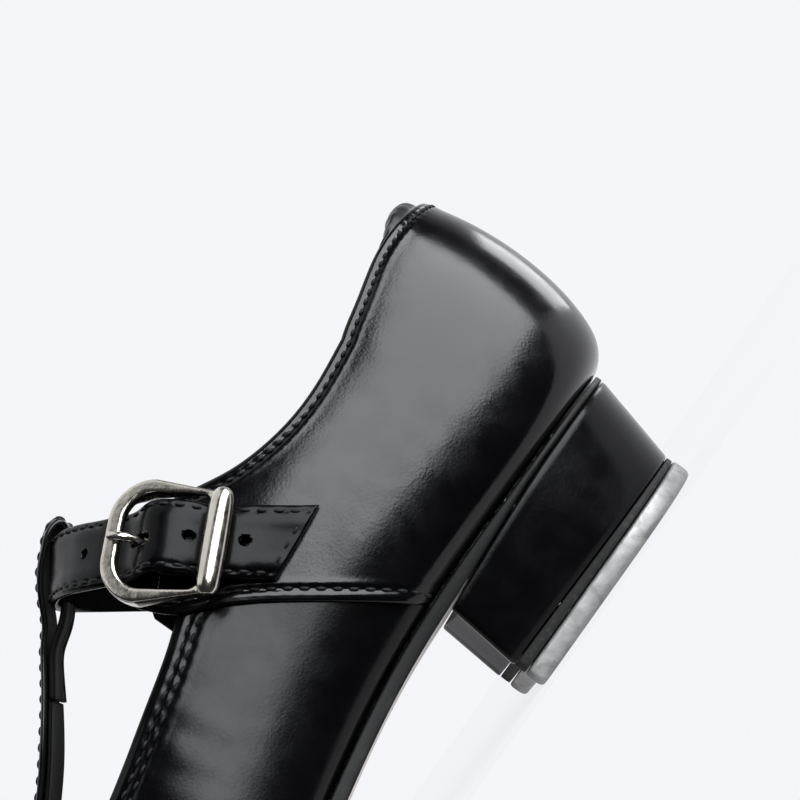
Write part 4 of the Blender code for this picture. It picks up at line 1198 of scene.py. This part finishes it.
def wire(name, path, radius, body, node, material):
    """A round wire along a smooth path, with rounded ends."""
    line = smooth_path(path, 0.25)
    runs = along_line(line)
    turns = np.linspace(0, 2 * math.pi, 16, endpoint=False)
    rings = []
    for p, way, run in zip(line, unit(np.gradient(line, axis=0)), runs):
        first = unit(V - way * V.dot(way))
        second = np.cross(way, first)
        near = min(run, runs[-1] - run)
        r = radius * math.sqrt(max(1 - max(1 - near / radius, 0) ** 2, 0.02))
        rings.append(p + first * r * np.cos(turns)[:, None] + second * r * np.sin(turns)[:, None])
    ring_piece(name, rings, [material], body=body, nodes=[node], slot="buckle_nickel")


PRONG_RADIUS = 0.9
EYE = BAR_RADIUS + GAP + PRONG_RADIUS
prong_path = [placed(EYE * math.cos(a), 0, BAR_D + EYE * math.sin(a))
              for a in np.radians([65, 95, 125, 150, 180, 210, 240, 270, 292, 312])]
prong_path += [placed(u, 0, BAR_D + d) for u, d in ((2.6, -0.4), (3.8, 0.8), (5.0, 2.05), (6.0, 3.2),
                                                    (7.0, 4.1), (8.3, 4.5), (9.6, 4.45), (10.7, 4.25))]
wire("prong_look", prong_path, PRONG_RADIUS, "prong", "buckle_prong", NICKEL)
wire("bar_look", [placed(0, v, BAR_D) for v in np.linspace(-11.2, 11.2, 9)], BAR_RADIUS, "buckle",
     "buckle_bar", STEEL)


# Sock: a thin padded layer over the insole board, pressed in along a line near its edge.
SOCK_INSET = 1.1
SOCK_RISE = 2.2
SOCK_THICK = 1.7


def sock():
    stations = chained((-0.96, 0, 26), (0, 1, 70), (1, 1.96, 26))
    left = last(-1, stations, -SOCK_INSET / MARGIN)
    right = last(1, stations, -SOCK_INSET / MARGIN)
    across = dense_ends(27)
    rings = []
    for a, b in zip(left, right):
        low = a + (b - a) * across[:, None]
        low[:, 2] += SOCK_RISE
        top = low.copy()
        edge = np.minimum(across, 1 - across) * np.linalg.norm(b - a)
        top[:, 2] += SOCK_THICK + 0.8 * (1 - np.exp(-edge / 3.0)) - 0.35 * bell(edge - 3.2, 0.7)
        rings.append(np.vstack([top, low[::-1]]))
    made = ring_piece("sock_look", rings, [SOCK], nodes=["sock_lining"], slot="grey_sock")


sock()


# Outsole: a black painted edge over a pale walking side, and black over the heel seat.
SOLE_ROUND = 0.5
BARE_FROM = (BREAST_Y - BREAST_HOLLOW - 1) * MM + SHIFT[1]


def sole_thickness(y):
    return SEAT_THICK + (SOLE_THICK - SEAT_THICK) * ease(y, 15, BREAST_Y + 1)


def sole_section(a, b):
    """The sole's section from the lateral edge to the medial one, round at both edges."""
    y = (a[1] + b[1]) / 2
    thick = float(sole_thickness(y))
    edge = min(SOLE_ROUND, thick * 0.35)
    wide = float(np.linalg.norm(b - a))
    turns = np.radians([90, 60, 30, 0])
    profile = [(edge - edge * math.cos(t), edge * math.sin(t) - edge) for t in turns]
    profile += [(edge - edge * math.cos(t), edge - thick - edge * math.sin(t)) for t in turns[::-1]]
    flat = np.linspace(edge, wide - edge, 9)[1:-1]
    loop = profile + [(x, -thick) for x in flat] + [(wide - x, h) for x, h in profile[::-1]]
    loop += [(x, 0.0) for x in flat[::-1]]
    x, h = np.array(loop).T
    way = unit(b - a)
    return np.stack([a[0] + way[0] * x, a[1] + way[1] * x, float(sole_top(y)) + h], axis=1)


def outsole():
    stations = chained((-0.97, 0, 40), (0, 1, 110), (1, 1.97, 40))
    outset = 1.9 + 1.6 * ease(stations, 0.45, 0.75)
    ends = []
    for side in (-1, 1):
        after = last(side, np.minimum(stations + 0.01, 2), 0.0)
        before = last(side, np.maximum(stations - 0.01, -1), 0.0)
        away = np.cross(unit(after - before), [0, 0, 1]) * side
        ends.append(last(side, stations, 0.0) + away * outset[:, None])
    rings = [sole_section(a, b) for a, b in zip(*ends)]

    def pick(face):
        return int(face.normal.z < -0.75 and face.center.y > BARE_FROM)

    ring_piece("outsole_look", rings, [SOLE_EDGE, SOLE], nodes=["outsole"], pick=pick, slot="pale_sole")


outsole()


# Heel: leather cover, rubber lift and cast tap.
SEAT_REACH = 8.3
SEAT_HALF_WIDE = 27.3
REAR_DRAWS_IN = 5.4  # from the seat down to the floor
SIDE_DRAWS_IN = 2.0
FRONT_REACHES_OUT = 1.4
CORNER_ROUND = 1.6
COVER_THICK = 0.9
LIFT_FROM_Y = -3.0
LIFT_LONG = 57.0


def heel_ring(share, inset, height):
    """One outline of the heel, share 0 at the seat and 1 at the floor."""
    rear = HEEL_Y + SEAT_REACH - REAR_DRAWS_IN * share - inset
    half_wide = SEAT_HALF_WIDE - SIDE_DRAWS_IN * share - inset
    front_y = BREAST_Y + FRONT_REACHES_OUT * share - inset
    taper = 0.6 + 0.4 * share
    corner = half_wide - taper
    t = np.linspace(0, math.pi, 49)
    arc = np.stack([-half_wide * np.cos(t), HEEL_Y - rear * np.sin(t)], axis=1)
    run = np.linspace(0, 1, 13)[1:-1]
    right = np.stack([half_wide - taper * run, HEEL_Y + (front_y - HEEL_Y - 2) * run], axis=1)
    turn = np.radians(np.linspace(0, 90, 8))
    turned = np.stack([corner + CORNER_ROUND * (np.cos(turn) - 1),
                       front_y - 1.9 + CORNER_ROUND * np.sin(turn)], axis=1)
    k = np.linspace(0.9, -0.9, 41)
    hollow = BREAST_HOLLOW * np.cos(k * math.pi / 2) ** 1.2
    front = np.stack([corner * k, front_y - 0.2 - hollow], axis=1)
    mirrored = [part[::-1] * (-1, 1) for part in (turned, right)]
    outline = np.vstack([arc, right, turned, front, *mirrored])
    return np.column_stack([outline, height(outline[:, 1])])


def seat_z(y):
    return sole_top(y) - sole_thickness(y) - GAP


def lift_z(y):
    return LIFT_REAR_Z + (LIFT_FRONT_Z - LIFT_REAR_Z) * (y - LIFT_FROM_Y) / LIFT_LONG


def between(share):
    return lambda y: seat_z(y) * (1 - share) + (lift_z(y) + GAP) * share


def above_tap(share):
    low = TAP_THICK + GAP
    return lambda y: low + (lift_z(y) - low) * share


def level(z):
    return lambda y: z + 0 * y


def heel_cover():
    shares = np.concatenate([[0.0, 0.012, 0.04], np.linspace(0.1, 0.9, 14), [0.965, 0.99, 1.0]])
    insets = np.concatenate([[0.5, 0.12, 0.0], np.zeros(14), [0.0, 0.08, 0.3]])
    rings = [heel_ring(t, inset, between(t)) for t, inset in zip(shares, insets)]
    rings += [heel_ring(t, COVER_THICK, between(t)) for t in (1.0, 0.5, 0.0)]
    ring_piece("heel_cover_look", rings, [HEEL_LEATHER], True, nodes=["heel_cover"], slot="black_leather")


def heel_lift():
    section = ((1.0, 0.6), (1.0, 0.25), (0.93, 0.12), (0.5, 0.08), (0.07, 0.12), (0.0, 0.25), (0.0, 0.6))
    rings = [heel_ring(1.0, inset, above_tap(share)) for share, inset in section]
    ring_piece("heel_lift_look", rings, [RUBBER], nodes=["heel_lift"], slot="lift_rubber")


def drilled(node, rings, screws):
    """A tap with a countersunk hole for each screw."""
    made = ring_piece(node + "_look", rings, [TAP_METAL], nodes=[node], slot="tap_aluminium")
    turns = np.linspace(0, 2 * math.pi, 32, endpoint=False)
    profile = ((3.3, -1.0), (3.3, 0.7), (1.7, 2.3), (1.7, 6.0))
    for x, y in screws:
        combined(made, [np.stack([x + r * np.cos(turns), y + r * np.sin(turns), np.full(32, z)], axis=1)
                        for r, z in profile])


heel_cover()
heel_lift()
tap_section = ((0.9, 0.0), (0.45, 0.12), (0.15, 0.4), (-0.05, 0.8), (-0.14, 1.3), (-0.2, 2.2),
               (-0.2, 3.4), (-0.12, 3.8), (0.02, 4.05), (0.25, TAP_THICK))
drilled("heel_tap", [heel_ring(1.0, inset, level(z)) for inset, z in tap_section],
        ((-15.0, 38.0), (15.0, 38.0), (0.0, 6.0)))


def toe_ring(inset, height):
    """The toe tap's outline: round the toe at the sole's edge, and a hollow rear edge."""
    side, s = around_toe(np.linspace(0.9, 2.0, 60))
    reach = 1.0 + 0.6 * ease(s, 1, 2)
    p = last(side, s, 0.0) + (last(side, s, 0.3) - last(side, s, 0.0)) * reach[:, None]
    inward = unit(np.array([TOE_SWING * 0.5, 185.0]) - p[:, :2])
    outline = p[:, :2] + inward * (inset + 0.4)
    outline[0, 1] = outline[-1, 1] = TOE_TAP_REAR_Y + 3 + inset
    k = np.linspace(0.96, 0.04, 33)
    rear = np.stack([outline[0, 0] + (outline[-1, 0] - outline[0, 0]) * k,
                     TOE_TAP_REAR_Y + inset + 4.0 * np.sin(k * math.pi)], axis=1)
    outline = np.vstack([outline, rear])
    return np.column_stack([outline, np.full(len(outline), height)])


toe_section = ((0.9, 0.0), (0.45, 0.12), (0.15, 0.45), (0.0, 1.1), (0.0, 3.6), (0.08, 3.95),
               (0.3, TAP_THICK))
drilled("toe_tap", [toe_ring(inset, z) for inset, z in toe_section],
        ((-21.0, 176.0), (23.5, 176.0), (3.5, 210.0)))

# Finishes for the solids that stay.
finishes = {"insole_board": BOARD, "forepart_filler": BOARD, "heel_counter": STIFF, "toe_puff": STIFF,
            "heel_core": PLASTIC, "shank": STEEL}
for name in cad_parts:
    if name.startswith(("heel_nail", "heel_tap_screw", "toe_tap_screw")):
        finishes[name] = STEEL
for name, finish in finishes.items():
    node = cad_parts[name]
    node.data.materials.clear()
    node.data.materials.append(finish)


# Studio: a pale floor that meets the background, a large softbox beside the shoe's outer side, a small low
# one behind the heel, and a weak wide one above.
BACKDROP = (0.912, 0.917, 0.945, 1)
SHOE_AT = Vector((-0.02, -0.05, 0.05))
FLOOR_HALF = 0.5
FLOOR_NARROW = 0.4
FLOOR_X = 0.155  # the floor lies mostly on the medial side, so its near edge is just past the lateral side


def floor():
    mesh = bpy.data.meshes.new("floor")
    work = bmesh.new()
    bmesh.ops.create_grid(work, x_segments=1, y_segments=1, size=FLOOR_HALF)
    for vert in work.verts:
        vert.co.x = vert.co.x * FLOOR_NARROW + FLOOR_X
    work.to_mesh(mesh)
    work.free()
    made = bpy.data.objects.new("floor", mesh)
    bpy.context.scene.collection.objects.link(made)
    finish = Surface("pale_floor", (0.10, 0.101, 0.103), 0.9)
    finish.set("Specular IOR Level", 0.0)
    finish.set("Emission Color", BACKDROP)
    finish.set("Emission Strength", 0.88)
    mesh.materials.append(finish.material)


floor()


def softbox(name, turn, rise, away, size, power):
    """A rectangular light seen from the shoe at this bearing from +X, this rise, and this distance."""
    light = bpy.data.lights.new(name, "AREA")
    light.shape = "RECTANGLE"
    light.size, light.size_y = size
    light.energy = power
    light.color = (0.955, 0.98, 1.0)
    made = bpy.data.objects.new(name, light)
    bpy.context.scene.collection.objects.link(made)
    turn, rise = math.radians(turn), math.radians(rise)
    way = Vector((math.cos(turn) * math.cos(rise), math.sin(turn) * math.cos(rise), math.sin(rise)))
    made.location = SHOE_AT + way * away
    made.rotation_euler = (-way).to_track_quat("-Z", "Y").to_euler()
    made.visible_camera = False


softbox("wall", -134, 13.5, 1.1, (1.85, 0.84), 37)
softbox("rear", -60, -6, 0.8, (0.30, 0.5), 2.0)
softbox("top", 90, 88, 1.4, (2.0, 2.0), 11)


def studio_world():
    """The backdrop for the camera, and for light and reflections one that is dark except towards +X."""
    world = bpy.data.worlds.new("studio")
    bpy.context.scene.world = world
    world.use_nodes = True
    tree = world.node_tree
    back = tree.nodes["Background"]
    dim = tree.nodes.new("ShaderNodeBackground")
    for shown in (back, dim):
        shown.inputs["Color"].default_value = BACKDROP
    back.inputs["Strength"].default_value = 1.0
    aim = tree.nodes.new("ShaderNodeTexCoord")
    split = tree.nodes.new("ShaderNodeSeparateXYZ")
    fade = tree.nodes.new("ShaderNodeMapRange")
    for name, value in (("From Min", 0.25), ("From Max", 0.75), ("To Min", 0.03), ("To Max", 0.9)):
        fade.inputs[name].default_value = value
    seen = tree.nodes.new("ShaderNodeLightPath")
    mix = tree.nodes.new("ShaderNodeMixShader")
    tree.links.new(aim.outputs["Generated"], split.inputs[0])
    tree.links.new(split.outputs["X"], fade.inputs["Value"])
    tree.links.new(fade.outputs["Result"], dim.inputs["Strength"])
    tree.links.new(seen.outputs["Is Camera Ray"], mix.inputs[0])
    tree.links.new(dim.outputs[0], mix.inputs[1])
    tree.links.new(back.outputs[0], mix.inputs[2])
    tree.links.new(mix.outputs[0], tree.nodes["World Output"].inputs["Surface"])


studio_world()
bpy.context.scene.view_settings.view_transform = "Standard"
bpy.context.scene.view_settings.look = "None"

# Camera: low beside the heel on the lateral side, rolled over towards the heel.
CAMERA_AT = Vector((-0.39808, -0.01784, 0.01635))
CAMERA_RIGHT = Vector((-0.01033, -0.59039, -0.80705))
CAMERA_DOWN = Vector((0.19114, 0.79105, -0.58113))
camera_data = bpy.data.cameras.new("camera")
camera_data.sensor_width = 36.0
camera_data.lens = 85.5
camera_data.clip_start = 0.01
camera = bpy.data.objects.new("camera", camera_data)
bpy.context.scene.collection.objects.link(camera)
right = CAMERA_RIGHT.normalized()
up = -(CAMERA_DOWN - right * CAMERA_DOWN.dot(right)).normalized()
turned_by = Matrix((right, up, right.cross(up))).transposed()
camera.matrix_world = Matrix.Translation(CAMERA_AT) @ turned_by.to_4x4()
bpy.context.scene.camera = camera
